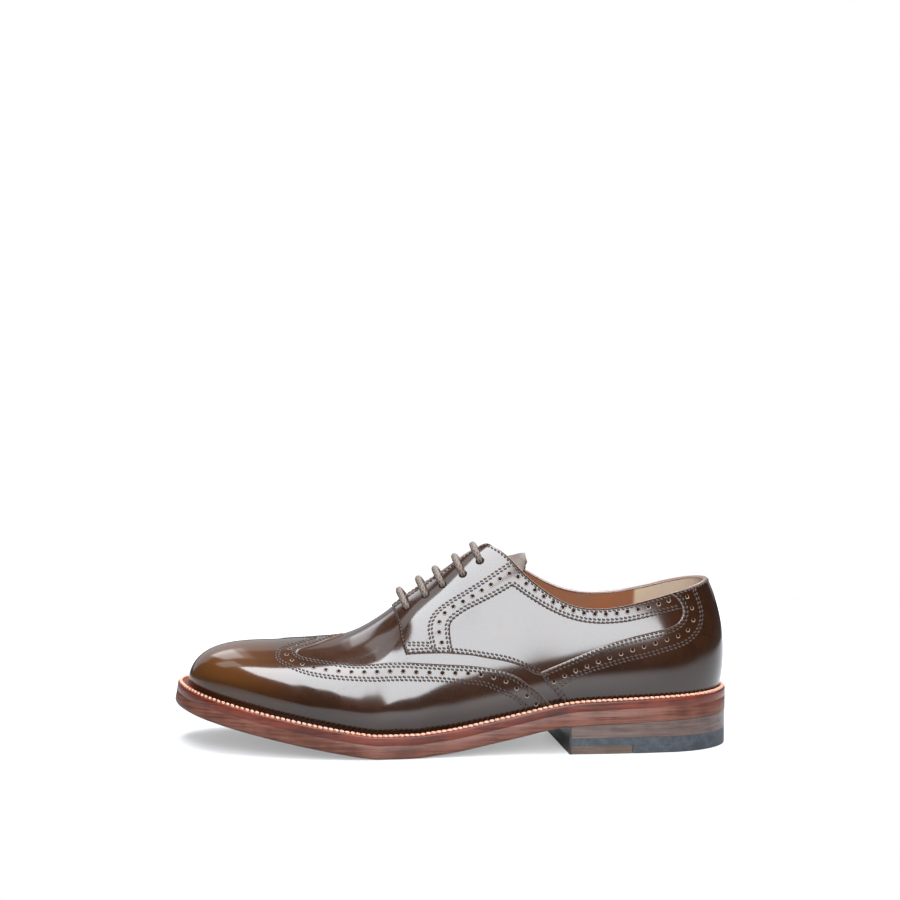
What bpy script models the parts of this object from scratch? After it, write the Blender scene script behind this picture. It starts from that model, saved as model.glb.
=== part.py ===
"""Full brogue derby shoe for the left foot, as the pieces a shoemaker puts together.

The toe points along -X, the heel along +X, the outer (lateral) side faces -Y and the shoe stands
on the plane Z = 0. Sizes and tables are in millimetres. Positions along the shoe are measured
forward from the back of the heel, and positions across it from the middle of the heel, lateral
side negative.
"""
import math
from collections import namedtuple

import bmesh
import bpy
import numpy as np

MM = 0.001

# Fit between pieces and thickness of each layer
CLEARANCE = 0.3
WALL = 2.2
OUTSOLE_THICK = 7.5
OUTSOLE_EDGE_ROUND = 1.5
TOE_EDGE_LEAN = 1.6
TOE_LEAN_START = 250.0
WELT_THICK = 4.7
WELT_UNDER_UPPER = 4.6
INSOLE_THICK = 3.4
TONGUE_THICK = 2.0

# Sole
LENGTH = 305.0

# Heel block
BREAST_LATERAL = 89.5
BREAST_MEDIAL = 97.0
TOP_PIECE_SPLIT = 55.0
TOP_PIECE_THICK = 4.2
BASE_LIFT_THICK = 4.1
HEEL_INSET = 0.3

# Upper
HEEL_AXIS = 40.0
TOE_DOME_START = 256.0
TOE_DOME_POWER = 2.4
THROAT_FRONT = 191.0
THROAT_TAPER = 9.0
THROAT_HALF_GAP = 5.5
TOPLINE_CORNER = 0.06
BACK_WIDEST = 19.0
BACK_SWELL = 2.0
BACK_PINCH = 0.12

# Laces
LACE_RADIUS = 1.6
LACE_STATIONS = (178.6, 169.1, 159.7, 150.3, 140.8)
LACE_LEAN = 0.45
EYELET_FROM_RIDGE = 15.0

# Number of mesh steps round and across each form
SOLE_STEPS = 48
HEEL_STEPS = 16
FRONT_COLUMNS = 34
FAN_COLUMNS = 14
LOW_ROWS = 3
HIGH_ROWS = 9

# Outline of the sole: heel back, lateral side, toe tip, medial side
OutlineRow = namedtuple("OutlineRow", "from_heel across")
SOLE_OUTLINE = [
    OutlineRow(0, 0),
    OutlineRow(6, -17),
    OutlineRow(20, -28),
    OutlineRow(45, -33.5),
    OutlineRow(87, -36),
    OutlineRow(120, -37),
    OutlineRow(150, -40.5),
    OutlineRow(185, -46),
    OutlineRow(215, -46),
    OutlineRow(245, -41),
    OutlineRow(272, -32),
    OutlineRow(290, -21),
    OutlineRow(300, -8),
    OutlineRow(305, 10),
    OutlineRow(301, 26),
    OutlineRow(291, 38),
    OutlineRow(275, 46.5),
    OutlineRow(250, 53),
    OutlineRow(222, 55.5),
    OutlineRow(190, 52.5),
    OutlineRow(155, 40),
    OutlineRow(120, 32),
    OutlineRow(87, 32),
    OutlineRow(45, 33),
    OutlineRow(20, 28),
    OutlineRow(6, 17),
]

# Underside of the outsole: heel seat, arch, flat tread, toe spring
SoleRow = namedtuple("SoleRow", "from_heel bottom shelf")
SOLE_ROWS = [
    SoleRow(0, 18.6, 4.4),
    SoleRow(40, 17.3, 4.8),
    SoleRow(70, 16.2, 5),
    SoleRow(90, 14.8, 5),
    SoleRow(116, 9.3, 5),
    SoleRow(135, 5.3, 5.2),
    SoleRow(149, 2.6, 5.4),
    SoleRow(168, 0.3, 5.6),
    SoleRow(181, -0.9, 5.8),
    SoleRow(193, -0.1, 5.8),
    SoleRow(216, 3.4, 6),
    SoleRow(250, 9.8, 6.2),
    SoleRow(283, 16.8, 6.4),
    SoleRow(305, 21.8, 6.4),
]

# Sections of the last: ridge above the floor, widest point above the feather line, how far the
# sides swell past the feather line and how strongly they lean in towards the ridge
LastRow = namedtuple("LastRow", "from_heel ridge widest swell_lateral swell_medial pinch_lateral pinch_medial")
LAST_ROWS = [
    LastRow(40, 116, 18, 2.6, 2.2, 0.3, 0.45),
    LastRow(90, 118, 16, 2.4, 1.2, 0.3, 0.44),
    LastRow(115, 116.5, 15, 2.2, 0.8, 0.28, 0.34),
    LastRow(137, 109.6, 14, 2.2, 0.8, 0.25, 0.22),
    LastRow(160, 92.2, 13, 2.4, 1.2, 0.2, 0.15),
    LastRow(176, 81, 12.5, 2.5, 1.5, 0.16, 0.12),
    LastRow(190, 70.5, 12, 2.6, 1.8, 0.12, 0.08),
    LastRow(210, 59.6, 11, 2.6, 2.2, 0.05, 0.02),
    LastRow(235, 55.8, 10, 2.4, 2.2, 0, 0),
    LastRow(260, 54.6, 10, 2, 2, -0.05, -0.05),
    LastRow(280, 56, 10, 1.6, 1.6, -0.1, -0.1),
    LastRow(300, 60, 10, 1.4, 1.4, -0.1, -0.1),
]

# Height of the topline above the floor
ToplineRow = namedtuple("ToplineRow", "from_heel lateral medial")
TOPLINE_ROWS = [
    ToplineRow(8, 91.6, 92),
    ToplineRow(20, 88.7, 89.5),
    ToplineRow(45, 82.4, 83),
    ToplineRow(70, 77.9, 80),
    ToplineRow(90, 80.6, 83),
    ToplineRow(105, 89.4, 90.5),
    ToplineRow(115, 98, 97),
    ToplineRow(122, 105, 102),
    ToplineRow(133, 111.5, 109.5),
    ToplineRow(145, 119, 119),
]

# Tongue: crest above the floor and half width
TongueRow = namedtuple("TongueRow", "from_heel crest half_width")
TONGUE_ROWS = [
    TongueRow(111, 104.6, 7),
    TongueRow(113.5, 104.6, 14),
    TongueRow(117, 103.8, 20),
    TongueRow(122, 102.9, 24.5),
    TongueRow(134, 101.5, 27),
    TongueRow(145, 97, 25),
    TongueRow(160, 87, 23),
    TongueRow(176, 76, 21),
    TongueRow(190, 65.5, 19),
    TongueRow(200, 59.4, 17),
]


def remove_everything():
    """Start from an empty file."""
    for thing in list(bpy.data.objects):
        bpy.data.objects.remove(thing, do_unlink=True)


def spline(knots, values, closed=False):
    """Smooth curve through a table's column, as a function of the knot."""
    t = np.asarray(knots, float)
    y = np.asarray(values, float)
    step = np.diff(t)
    slope = np.diff(y) / step
    count = len(step) if closed else len(t)
    matrix = np.eye(count)
    right = np.zeros(count)
    for i in range(0 if closed else 1, count if closed else count - 1):
        matrix[i, i] = 2 * (step[i - 1] + step[i])
        matrix[i, i - 1] = step[i - 1]
        matrix[i, (i + 1) % count] = step[i]
        right[i] = 6 * (slope[i] - slope[i - 1])
    bend = np.linalg.solve(matrix, right)
    if closed:
        bend = np.append(bend, bend[0])

    def curve(x):
        i = np.clip(np.searchsorted(t, x) - 1, 0, len(step) - 1)
        a = (t[i + 1] - x) / step[i]
        b = (x - t[i]) / step[i]
        lift = (a ** 3 - a) * bend[i] + (b ** 3 - b) * bend[i + 1]
        return a * y[i] + b * y[i + 1] + lift * step[i] ** 2 / 6

    return curve


def column(rows, name):
    """One column of a table as a smooth function of the distance from the heel."""
    return spline([row.from_heel for row in rows], [getattr(row, name) for row in rows])


def closed_outline(rows, count=2400):
    """Dense points on the closed curve through the rows of an outline."""
    points = np.array(rows + rows[:1], float)
    along = np.append(0, np.cumsum(np.hypot(*np.diff(points, axis=0).T)))
    at = np.linspace(0, along[-1], count, endpoint=False)
    return np.column_stack([spline(along, points[:, k], closed=True)(at) for k in (0, 1)])


def inset(outline, distance):
    """The outline moved inward by a distance, which may vary from point to point."""
    ahead = np.roll(outline, -1, axis=0) - np.roll(outline, 1, axis=0)
    inward = np.column_stack([-ahead[:, 1], ahead[:, 0]])
    inward /= np.hypot(*inward.T)[:, None]
    return outline + inward * np.reshape(distance, (-1, 1))


def two_sides(outline):
    """The lateral and the medial edge of an outline, each from the heel to the toe."""
    turned = np.roll(outline, -outline[:, 0].argmin(), axis=0)
    toe = turned[:, 0].argmax()
    return turned[:toe + 1], np.vstack([turned[toe:], turned[:1]])[::-1]


def across_at(side, from_heel):
    """Position across the shoe of one edge at the given distances from the heel."""
    return np.interp(from_heel, side[:, 0], side[:, 1])


SOLE_EDGE = closed_outline(SOLE_OUTLINE)
SOLE_MIDDLE = (SOLE_EDGE.min(axis=0) + SOLE_EDGE.max(axis=0)) / 2
sole_bottom_curve = column(SOLE_ROWS, "bottom")
shelf_width = column(SOLE_ROWS, "shelf")


def edge_lean(from_heel):
    """How far the top of the welt stands back from the sole's edge where the toe springs up."""
    return TOE_EDGE_LEAN * np.clip((from_heel - TOE_LEAN_START) / (LENGTH - TOE_LEAN_START), 0, 1) ** 2


WELT_FOOT = inset(SOLE_EDGE, 0.6 * edge_lean(SOLE_EDGE[:, 0]))
WELT_EDGE = inset(SOLE_EDGE, edge_lean(SOLE_EDGE[:, 0]))
FEATHER_EDGE = inset(WELT_EDGE, shelf_width(SOLE_EDGE[:, 0]))
FEATHER_LATERAL, FEATHER_MEDIAL = two_sides(FEATHER_EDGE)
TOE_TIP = FEATHER_EDGE[FEATHER_EDGE[:, 0].argmax()]


def to_world(points):
    """Shoe measurements (from heel, across, height) in millimetres to metres in the world."""
    points = np.asarray(points, float)
    place = np.empty_like(points)
    place[..., 0] = (SOLE_MIDDLE[0] - points[..., 0]) * MM
    place[..., 1] = (points[..., 1] - SOLE_MIDDLE[1]) * MM
    place[..., 2] = points[..., 2] * MM
    return place


def sole_bottom(from_heel):
    """Underside of the outsole, flat on the floor under the tread."""
    return np.maximum(sole_bottom_curve(from_heel), 0)


def outsole_top(from_heel):
    return sole_bottom(from_heel) + OUTSOLE_THICK


def welt_bottom(from_heel):
    return outsole_top(from_heel) + CLEARANCE


def welt_top(from_heel):
    return welt_bottom(from_heel) + WELT_THICK


def feather_height(from_heel):
    """Foot of the upper, where it stands on the welt."""
    return welt_top(from_heel) + CLEARANCE


LAST = {name: column(LAST_ROWS, name) for name in LastRow._fields[1:]}
TOPLINE = {name: column(TOPLINE_ROWS, name) for name in ToplineRow._fields[1:]}
TONGUE = {name: column(TONGUE_ROWS, name) for name in TongueRow._fields[1:]}


def ridge_across(from_heel):
    """The ridge runs straight from the middle of the heel to the tip of the toe."""
    return TOE_TIP[1] * (np.asarray(from_heel, float) - HEEL_AXIS) / (TOE_TIP[0] - HEEL_AXIS)


def toe_dome(from_heel):
    """Falls from one to nothing over the toe, so the ridge rounds down to the feather line."""
    part = np.clip((from_heel - TOE_DOME_START) / (TOE_TIP[0] - TOE_DOME_START), 0, 1)
    return np.sqrt(1 - part ** TOE_DOME_POWER)


Section = namedtuple("Section", "spine foot low high widest reach pinch")


def front_section(from_heel, side):
    """Half sections across the shoe, on the 'lateral' or the 'medial' side, ahead of the heel."""
    from_heel = np.asarray(from_heel, float)
    edge = FEATHER_LATERAL if side == "lateral" else FEATHER_MEDIAL
    spine = np.column_stack([from_heel, ridge_across(from_heel)])
    foot = np.column_stack([from_heel, across_at(edge, from_heel)])
    dome = toe_dome(from_heel)
    low = feather_height(from_heel)
    high = low + (LAST["ridge"](from_heel) - low) * dome
    widest = low + LAST["widest"](from_heel) * dome
    reach = LAST["swell_" + side](from_heel) * dome
    return Section(spine, foot, low, high, widest, reach, LAST["pinch_" + side](from_heel))


def heel_section(turn):
    """Half sections fanned about the heel axis; turn runs from -90 (lateral) to 90 (medial)."""
    turn = np.radians(np.asarray(turn, float))
    heading = np.column_stack([-np.cos(turn), np.sin(turn)])
    offsets = FEATHER_EDGE - np.array([HEEL_AXIS, 0.0])
    behind = offsets[offsets[:, 0] < 1]
    angles = np.arctan2(behind[:, 1], -behind[:, 0])
    order = angles.argsort()
    radius = np.interp(turn, angles[order], np.hypot(*behind[order].T))
    spine = np.tile([HEEL_AXIS, 0.0], (len(turn), 1))
    foot = spine + heading * radius[:, None]
    back = np.cos(turn) ** 2
    medial = (1 + np.sin(turn)) / 2

    def blend(name, at_back):
        at_sides = [LAST[name + "_" + side](HEEL_AXIS) for side in ("lateral", "medial")]
        return (at_sides[0] * (1 - medial) + at_sides[1] * medial) * (1 - back) + at_back * back

    low = feather_height(foot[:, 0])
    high = np.full(len(turn), float(LAST["ridge"](HEEL_AXIS)))
    widest = low + LAST["widest"](HEEL_AXIS) * (1 - back) + BACK_WIDEST * back
    return Section(spine, foot, low, high, widest, blend("swell", BACK_SWELL), blend("pinch", BACK_PINCH))


def spread(section, angle):
    """Distance from the spine at an angle: zero at the widest point, a right angle at the ridge."""
    radius = np.hypot(*(section.foot - section.spine).T) + section.reach
    return radius * np.cos(angle) * (1 - section.pinch * np.sin(angle) ** 2)


def on_section(section, distance, height):
    """Points on half sections at a distance from the spine and a height."""
    way = section.foot - section.spine
    length = np.maximum(np.hypot(*way.T), 1e-6)[:, None]
    flat = section.spine + way / length * np.reshape(distance, (-1, 1))
    return np.column_stack([flat, height])


def side_point(section, angle):
    """Points on the upper half of the section, above the widest point."""
    height = section.widest + (section.high - section.widest) * np.sin(angle)
    return on_section(section, spread(section, angle), height)


def low_point(section, part):
    """Points between the feather line (part 0) and the widest point (part 1)."""
    distance = spread(section, 0 * section.low) - section.reach * (1 - part) ** 2
    return on_section(section, distance, section.low + (section.widest - section.low) * part)


def angle_at_spread(section, distance):
    """Angle at which the section comes to a distance from its spine."""
    near = np.zeros(len(section.low))
    far = np.full(len(section.low), math.pi / 2)
    for _ in range(40):
        middle = (near + far) / 2
        outside = spread(section, middle) > distance
        near = np.where(outside, middle, near)
        far = np.where(outside, far, middle)
    return (near + far) / 2


def throat_half_gap(from_heel):
    """Half the gap between the facings, closing to a point at the front of the throat."""
    part = np.clip((THROAT_FRONT - from_heel) / THROAT_TAPER, 0, 1)
    return THROAT_HALF_GAP * part * part * (3 - 2 * part)


def top_angle(section, side):
    """Where the upper ends on each section: ridge, edge of the facing or topline."""
    open_throat = throat_half_gap(section.spine[:, 0])
    facing = np.where(open_throat > 0, angle_at_spread(section, open_throat), math.pi / 2)
    topline = np.full(len(facing), math.radians(30))
    for _ in range(4):
        from_heel = side_point(section, topline)[:, 0]
        rise = (TOPLINE[side](np.minimum(from_heel, 145)) - section.widest) / np.maximum(
            section.high - section.widest, 1e-6)
        topline = np.where(rise < 1, np.arcsin(np.clip(rise, -1, 1)), math.pi)
        topline = np.where(section.spine[:, 0] > 145, math.pi, topline)
    soft = TOPLINE_CORNER
    both = -soft * np.log(np.exp(-facing / soft) + np.exp(-topline / soft))
    return np.where(topline > math.pi / 2, facing, np.minimum(both, math.pi / 2))


def material(name, colour, roughness, metallic=0.0):
    """A plain finish for one piece."""
    finish = bpy.data.materials.new(name)
    finish.use_nodes = True
    shader = finish.node_tree.nodes["Principled BSDF"]
    shader.inputs["Base Color"].default_value = (*colour, 1.0)
    shader.inputs["Roughness"].default_value = roughness
    shader.inputs["Metallic"].default_value = metallic
    finish.diffuse_color = (*colour, 1.0)
    return finish


def solid(name, points, faces, finish, smooth=True):
    """A closed body from points in millimetres."""
    body = bmesh.new()
    corners = [body.verts.new(place) for place in to_world(points)]
    for face in faces:
        body.faces.new([corners[i] for i in face])
    bmesh.ops.remove_doubles(body, verts=body.verts, dist=0.00002)
    bmesh.ops.dissolve_degenerate(body, edges=body.edges, dist=0.00001)
    bmesh.ops.recalc_face_normals(body, faces=body.faces)
    mesh = bpy.data.meshes.new(name)
    body.to_mesh(mesh)
    body.free()
    mesh.materials.append(finish)
    if smooth:
        mesh.shade_smooth()
    thing = bpy.data.objects.new(name, mesh)
    SHOE.objects.link(thing)
    return thing


def ring_strip(lower, upper, count):
    """Faces between two rings of points, given the index at which each starts."""
    return [(lower + i, lower + (i + 1) % count, upper + (i + 1) % count, upper + i) for i in range(count)]


def ring(outline, height, steps, start=None, lateral_end=None, medial_end=None):
    """A ring along the lateral edge and back along the medial edge, whole or cut off square."""
    lateral, medial = two_sides(outline)
    tip, end = lateral[0, 0], lateral[-1, 0]
    part = np.linspace(0, 1, steps + 1)
    if lateral_end is None:
        part = (1 - np.cos(part * math.pi)) / 2
    elif start is None:
        part = 1 - np.cos(part * math.pi / 2)
    begin = tip if start is None else start
    points = []
    for side, finish in ((lateral, lateral_end), (medial, medial_end)):
        along = begin + part * ((end if finish is None else finish) - begin)
        points.append(np.column_stack([along, across_at(side, along), height(along)]))
    return np.vstack([points[0], points[1][::-1]])


def loft(name, rings, finish, hollow=False):
    """A body through rings with the same number of points; capped, or closed on itself if hollow."""
    count = len(rings[0])
    faces = []
    for i in range(len(rings) - 1):
        faces += ring_strip(i * count, (i + 1) * count, count)
    last = (len(rings) - 1) * count
    if hollow:
        faces += ring_strip(last, 0, count)
    else:
        for first in (0, last):
            faces += [(first + i, first + i + 1, first + count - 2 - i, first + count - 1 - i)
                      for i in range(count // 2 - 1)]
    return solid(name, np.vstack(rings), faces, finish)


def make_outsole(finish):
    lifted = inset(SOLE_EDGE, OUTSOLE_EDGE_ROUND)
    return loft("outsole", [
        ring(lifted, sole_bottom, SOLE_STEPS),
        ring(SOLE_EDGE, lambda s: sole_bottom(s) + OUTSOLE_EDGE_ROUND, SOLE_STEPS),
        ring(WELT_FOOT, outsole_top, SOLE_STEPS),
    ], finish)


def make_welt(finish):
    inner = inset(FEATHER_EDGE, WELT_UNDER_UPPER)
    return loft("welt", [
        ring(WELT_FOOT, welt_bottom, SOLE_STEPS),
        ring(WELT_EDGE, welt_top, SOLE_STEPS),
        ring(inner, welt_top, SOLE_STEPS),
        ring(inner, welt_bottom, SOLE_STEPS),
    ], finish, hollow=True)


def make_insole(finish):
    inside_welt = inset(FEATHER_EDGE, WELT_UNDER_UPPER + CLEARANCE)
    inside_upper = inset(FEATHER_EDGE, WALL + CLEARANCE + 0.2)
    return loft("insole", [
        ring(inside_welt, lambda s: outsole_top(s) + CLEARANCE, SOLE_STEPS),
        ring(inside_welt, feather_height, SOLE_STEPS),
        ring(inside_upper, feather_height, SOLE_STEPS),
        ring(inside_upper, lambda s: feather_height(s) + INSOLE_THICK, SOLE_STEPS),
    ], finish)


def make_lift(name, finish, bottom, top, start=None, end=None):
    """One layer of the heel, from the back or from a start line to the breast or to an end line."""
    edge = inset(SOLE_EDGE, HEEL_INSET)
    lateral_end = BREAST_LATERAL if end is None else end
    medial_end = BREAST_MEDIAL if end is None else end
    return loft(name, [ring(edge, height, HEEL_STEPS, start, lateral_end, medial_end) for height in (bottom, top)],
                finish)


def level(height):
    return lambda from_heel: np.full(np.shape(from_heel), float(height))


def make_heel(leather, rubber, strip):
    base_bottom = TOP_PIECE_THICK + CLEARANCE
    base_top = base_bottom + BASE_LIFT_THICK
    stack_bottom = base_top + CLEARANCE

    def stack_top(from_heel):
        return sole_bottom(from_heel) - CLEARANCE

    def stack_middle(from_heel):
        return (stack_bottom + stack_top(from_heel)) / 2

    make_lift("top_piece_rubber", rubber, level(0), level(TOP_PIECE_THICK), end=TOP_PIECE_SPLIT)
    make_lift("top_piece_leather", strip, level(0), level(TOP_PIECE_THICK), start=TOP_PIECE_SPLIT + CLEARANCE)
    make_lift("heel_base_rubber", rubber, level(base_bottom), level(base_top))
    make_lift("heel_lift_lower", leather, level(stack_bottom), lambda s: stack_middle(s) - CLEARANCE / 2)
    make_lift("heel_lift_upper", leather, lambda s: stack_middle(s) + CLEARANCE / 2, stack_top)


def unit(vectors):
    return vectors / np.maximum(np.linalg.norm(vectors, axis=-1, keepdims=True), 1e-9)


def grid_normals(points):
    """Normals of a grid of points, one per point, towards the outside of the shoe."""
    along = np.gradient(points, axis=0)
    upward = np.gradient(points, axis=1)
    return unit(np.cross(upward, along))


def upper_grid():
    """Outer skin of the upper: one column per half section, toe to heel to toe."""
    part = np.linspace(0, 1, FRONT_COLUMNS + 1)
    stations = HEEL_AXIS + (TOE_TIP[0] - HEEL_AXIS) * np.sin(part * math.pi / 2)
    turns = np.linspace(-90, 90, FAN_COLUMNS + 1)
    columns = []
    for side, picked in (("lateral", stations[::-1]), ("back", turns[1:-1]), ("medial", stations)):
        if side == "back":
            section = heel_section(picked)
            medial = ((1 + np.sin(np.radians(picked))) / 2)
            top = top_angle(section, "lateral") * (1 - medial) + top_angle(section, "medial") * medial
        else:
            section = front_section(picked, side)
            top = top_angle(section, side)
        low = [low_point(section, k / LOW_ROWS) for k in range(LOW_ROWS)]
        high = [side_point(section, top * k / HIGH_ROWS) for k in range(HIGH_ROWS + 1)]
        columns.append(np.stack(low + high, axis=1))
    return np.concatenate(columns)


def make_upper(finish):
    outer = upper_grid()
    normals = grid_normals(outer)
    normals[0] = normals[-1] = (1.0, 0.0, 0.0)
    count, rows = outer.shape[:2]
    for i in range(count // 2):
        twin = count - 1 - i
        if np.linalg.norm(outer[i, -1] - outer[twin, -1]) < 0.01:
            normals[i, -1] = normals[twin, -1] = unit(normals[i, -1] + normals[twin, -1])
    inner = outer - normals * WALL
    inner[:, 0, 2] = outer[:, 0, 2]
    faces = []
    shift = count * rows
    for i in range(count - 1):
        for j in range(rows - 1):
            corner = i * rows + j
            face = (corner, corner + 1, corner + rows + 1, corner + rows)
            faces.append(face)
            faces.append(tuple(k + shift for k in face[::-1]))
        for j in (0, rows - 1):
            corner = i * rows + j
            if np.linalg.norm(outer[i, j] - outer[count - 1 - i, j]) > 0.01 or \
                    np.linalg.norm(outer[i + 1, j] - outer[count - 2 - i, j]) > 0.01:
                faces.append((corner, corner + rows, corner + rows + shift, corner + shift))
    return solid("upper", np.vstack([outer.reshape(-1, 3), inner.reshape(-1, 3)]), faces, finish)


def make_tongue(finish, steps=14, across=10):
    """A sheet under the facings that follows the sections of the last below its own crest."""
    stations = np.linspace(TONGUE_ROWS[0].from_heel, TONGUE_ROWS[-1].from_heel, steps + 1)
    sheet = np.empty((steps + 1, across + 1, 3))
    for k in range(across + 1):
        place = 2 * k / across - 1
        side = "lateral" if place < 0 else "medial"
        section = front_section(stations, side)
        section = section._replace(high=TONGUE["crest"](stations), reach=section.reach - WALL - 1.4)
        angle = angle_at_spread(section, abs(place) * TONGUE["half_width"](stations))
        sheet[:, k] = side_point(section, angle)
    normals = unit(np.cross(np.gradient(sheet, axis=1), np.gradient(sheet, axis=0)))
    normals *= np.sign(normals[..., 2:])
    under = sheet - normals * TONGUE_THICK
    width = across + 1
    count = (steps + 1) * width
    faces = []
    for i in range(steps):
        for k in range(across):
            corner = i * width + k
            face = (corner, corner + 1, corner + width + 1, corner + width)
            faces += [face, tuple(c + count for c in face[::-1])]
        for k in (0, across):
            corner = i * width + k
            faces.append((corner, corner + width, corner + width + count, corner + count))
    for i in (0, steps):
        for k in range(across):
            corner = i * width + k
            faces.append((corner, corner + 1, corner + 1 + count, corner + count))
    return solid("tongue", np.vstack([sheet.reshape(-1, 3), under.reshape(-1, 3)]), faces, finish)


def skin_point(from_heel, distance, side):
    """A point of the upper's outer skin at a distance from the ridge plane, and its normal."""
    def at(s, r):
        section = front_section(np.array([s]), side)
        return side_point(section, angle_at_spread(section, r))[0]
    here = at(from_heel, distance)
    normal = unit(np.cross(at(from_heel + 0.5, distance) - here, at(from_heel, distance + 0.5) - here))
    return here, normal * np.sign(normal[2])


def make_lace_bar(name, station, finish, steps=12):
    """A straight bar over the throat from the lateral eyelet to the medial one."""
    path = []
    crest = float(LAST["ridge"](station))
    for k in range(steps + 1):
        place = (2 * k / steps - 1) * EYELET_FROM_RIDGE
        side = "lateral" if place < 0 else "medial"
        here = skin_point(station, abs(place), side)[0]
        moved = station + LACE_LEAN * (here[2] - crest)
        here, normal = skin_point(moved, abs(place), side)
        path.append(here + normal * (LACE_RADIUS + CLEARANCE + 0.15))
    curve = bpy.data.curves.new(name, "CURVE")
    curve.dimensions = "3D"
    curve.bevel_depth = LACE_RADIUS * MM
    curve.bevel_resolution = 2
    curve.use_fill_caps = True
    run = curve.splines.new("POLY")
    run.points.add(steps)
    for point, place in zip(run.points, to_world(path)):
        point.co = (*place, 1.0)
    curve.materials.append(finish)
    bar = bpy.data.objects.new(name, curve)
    SHOE.objects.link(bar)
    return bar


remove_everything()
SHOE = bpy.data.collections.new("full_brogue_derby_shoe")
bpy.context.scene.collection.children.link(SHOE)

brown_leather = material("brown_leather", (0.075, 0.028, 0.010), 0.22)
tongue_leather = material("tongue_leather", (0.06, 0.022, 0.009), 0.35)
welt_leather = material("welt_leather", (0.16, 0.05, 0.03), 0.45)
sole_leather = material("sole_leather", (0.17, 0.10, 0.08), 0.5)
insole_leather = material("insole_leather", (0.52, 0.34, 0.20), 0.6)
heel_leather = material("heel_leather", (0.17, 0.10, 0.08), 0.5)
heel_rubber = material("heel_rubber", (0.06, 0.065, 0.075), 0.6)
strip_leather = material("strip_leather", (0.28, 0.19, 0.14), 0.55)
waxed_lace = material("waxed_lace", (0.20, 0.16, 0.13), 0.6)

make_outsole(sole_leather)
make_welt(welt_leather)
make_insole(insole_leather)
make_heel(heel_leather, heel_rubber, strip_leather)
make_upper(brown_leather)
make_tongue(tongue_leather)
for number, station in enumerate(LACE_STATIONS, 1):
    make_lace_bar("lace_bar_%d" % number, station, waxed_lace)
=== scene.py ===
"""Looks of the left full brogue derby shoe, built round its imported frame.

Sizes and tables are in millimetres, as in the part's source: positions along the shoe run forward
from the back of the heel, positions across it from the middle of the heel, lateral side negative.
A place on the lasted upper is given by two numbers. Way runs forward from the back seam, round the
heel and then along the shoe. Up runs from the feather line (0) over the widest point to the ridge (1).
"""
import math
from collections import namedtuple

import bmesh
import bpy
import numpy as np
from mathutils import Matrix, Vector


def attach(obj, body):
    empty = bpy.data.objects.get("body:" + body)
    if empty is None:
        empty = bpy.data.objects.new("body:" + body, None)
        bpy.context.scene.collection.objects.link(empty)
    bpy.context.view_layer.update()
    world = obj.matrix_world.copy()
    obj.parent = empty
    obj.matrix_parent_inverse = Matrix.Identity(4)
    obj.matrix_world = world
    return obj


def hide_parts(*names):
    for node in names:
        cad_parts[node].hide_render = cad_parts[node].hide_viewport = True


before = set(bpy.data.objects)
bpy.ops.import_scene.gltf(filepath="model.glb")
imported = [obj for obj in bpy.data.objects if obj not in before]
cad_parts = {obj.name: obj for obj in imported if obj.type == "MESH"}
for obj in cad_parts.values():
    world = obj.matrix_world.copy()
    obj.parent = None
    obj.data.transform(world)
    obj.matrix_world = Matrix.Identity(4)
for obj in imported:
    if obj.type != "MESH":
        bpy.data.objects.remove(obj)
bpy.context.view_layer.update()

MM = 0.001
SIDES = ("lateral", "medial")
OTHER = {"lateral": "medial", "medial": "lateral"}
HAND = {"lateral": 1, "medial": -1}

# Fit between pieces and thickness of each layer, as in the part's source
CLEARANCE = 0.3
WALL = 2.2
OUTSOLE_THICK = 7.5
TOE_EDGE_LEAN = 1.6
TOE_LEAN_START = 250.0
WELT_THICK = 4.7
INSOLE_THICK = 3.4
TONGUE_THICK = 2.0
TONGUE_GAP = 1.4
LENGTH = 305.0
BREAST_LATERAL = 89.5
BREAST_MEDIAL = 97.0
BREAST_SLANT = 0.109
TOP_PIECE_SPLIT = 55.0
TOP_PIECE_THICK = 4.2
BASE_LIFT_THICK = 4.1
HEEL_INSET = 0.3
HEEL_AXIS = 40.0
TOE_DOME_START = 256.0
TOE_DOME_POWER = 2.4
THROAT_FRONT = 191.0
THROAT_TAPER = 9.0
THROAT_HALF_GAP = 5.5
TOPLINE_CORNER = 0.06
TOPLINE_FRONT = 145.0
BACK_WIDEST = 19.0
BACK_SWELL = 2.0
BACK_PINCH = 0.12
LACE_RADIUS = 1.85
LACE_LEAN = 0.37

# How far each layer of leather stands off the lasted skin
VAMP_HEIGHT = 0.0
WING_HEIGHT = 0.8
QUARTER_HEIGHT = 0.6
FACING_HEIGHT = 0.95
FOXING_HEIGHT = 1.3
LINING_DEPTH = 1.5
LOW_SHARE = 0.15
UP_SPAN = 90.0

# Steps and limits for measuring and cutting the skin
WAY_STEP = 0.2
UP_STEP = 0.002
LEAST_DEPTH = 0.002
TIP_GAP = 0.03
SHORTEST = 0.01
SEAM_STEP = 0.6
SEAM_SPACING = 1.0
FOLD_LIMIT = 0.2
END_SHARE = 0.8
FAR_FROM_EDGE = 30.0
SHEET_MERGE = 0.004
LOFT_MERGE = 0.01
LEAST_EDGE = 0.0005

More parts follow.
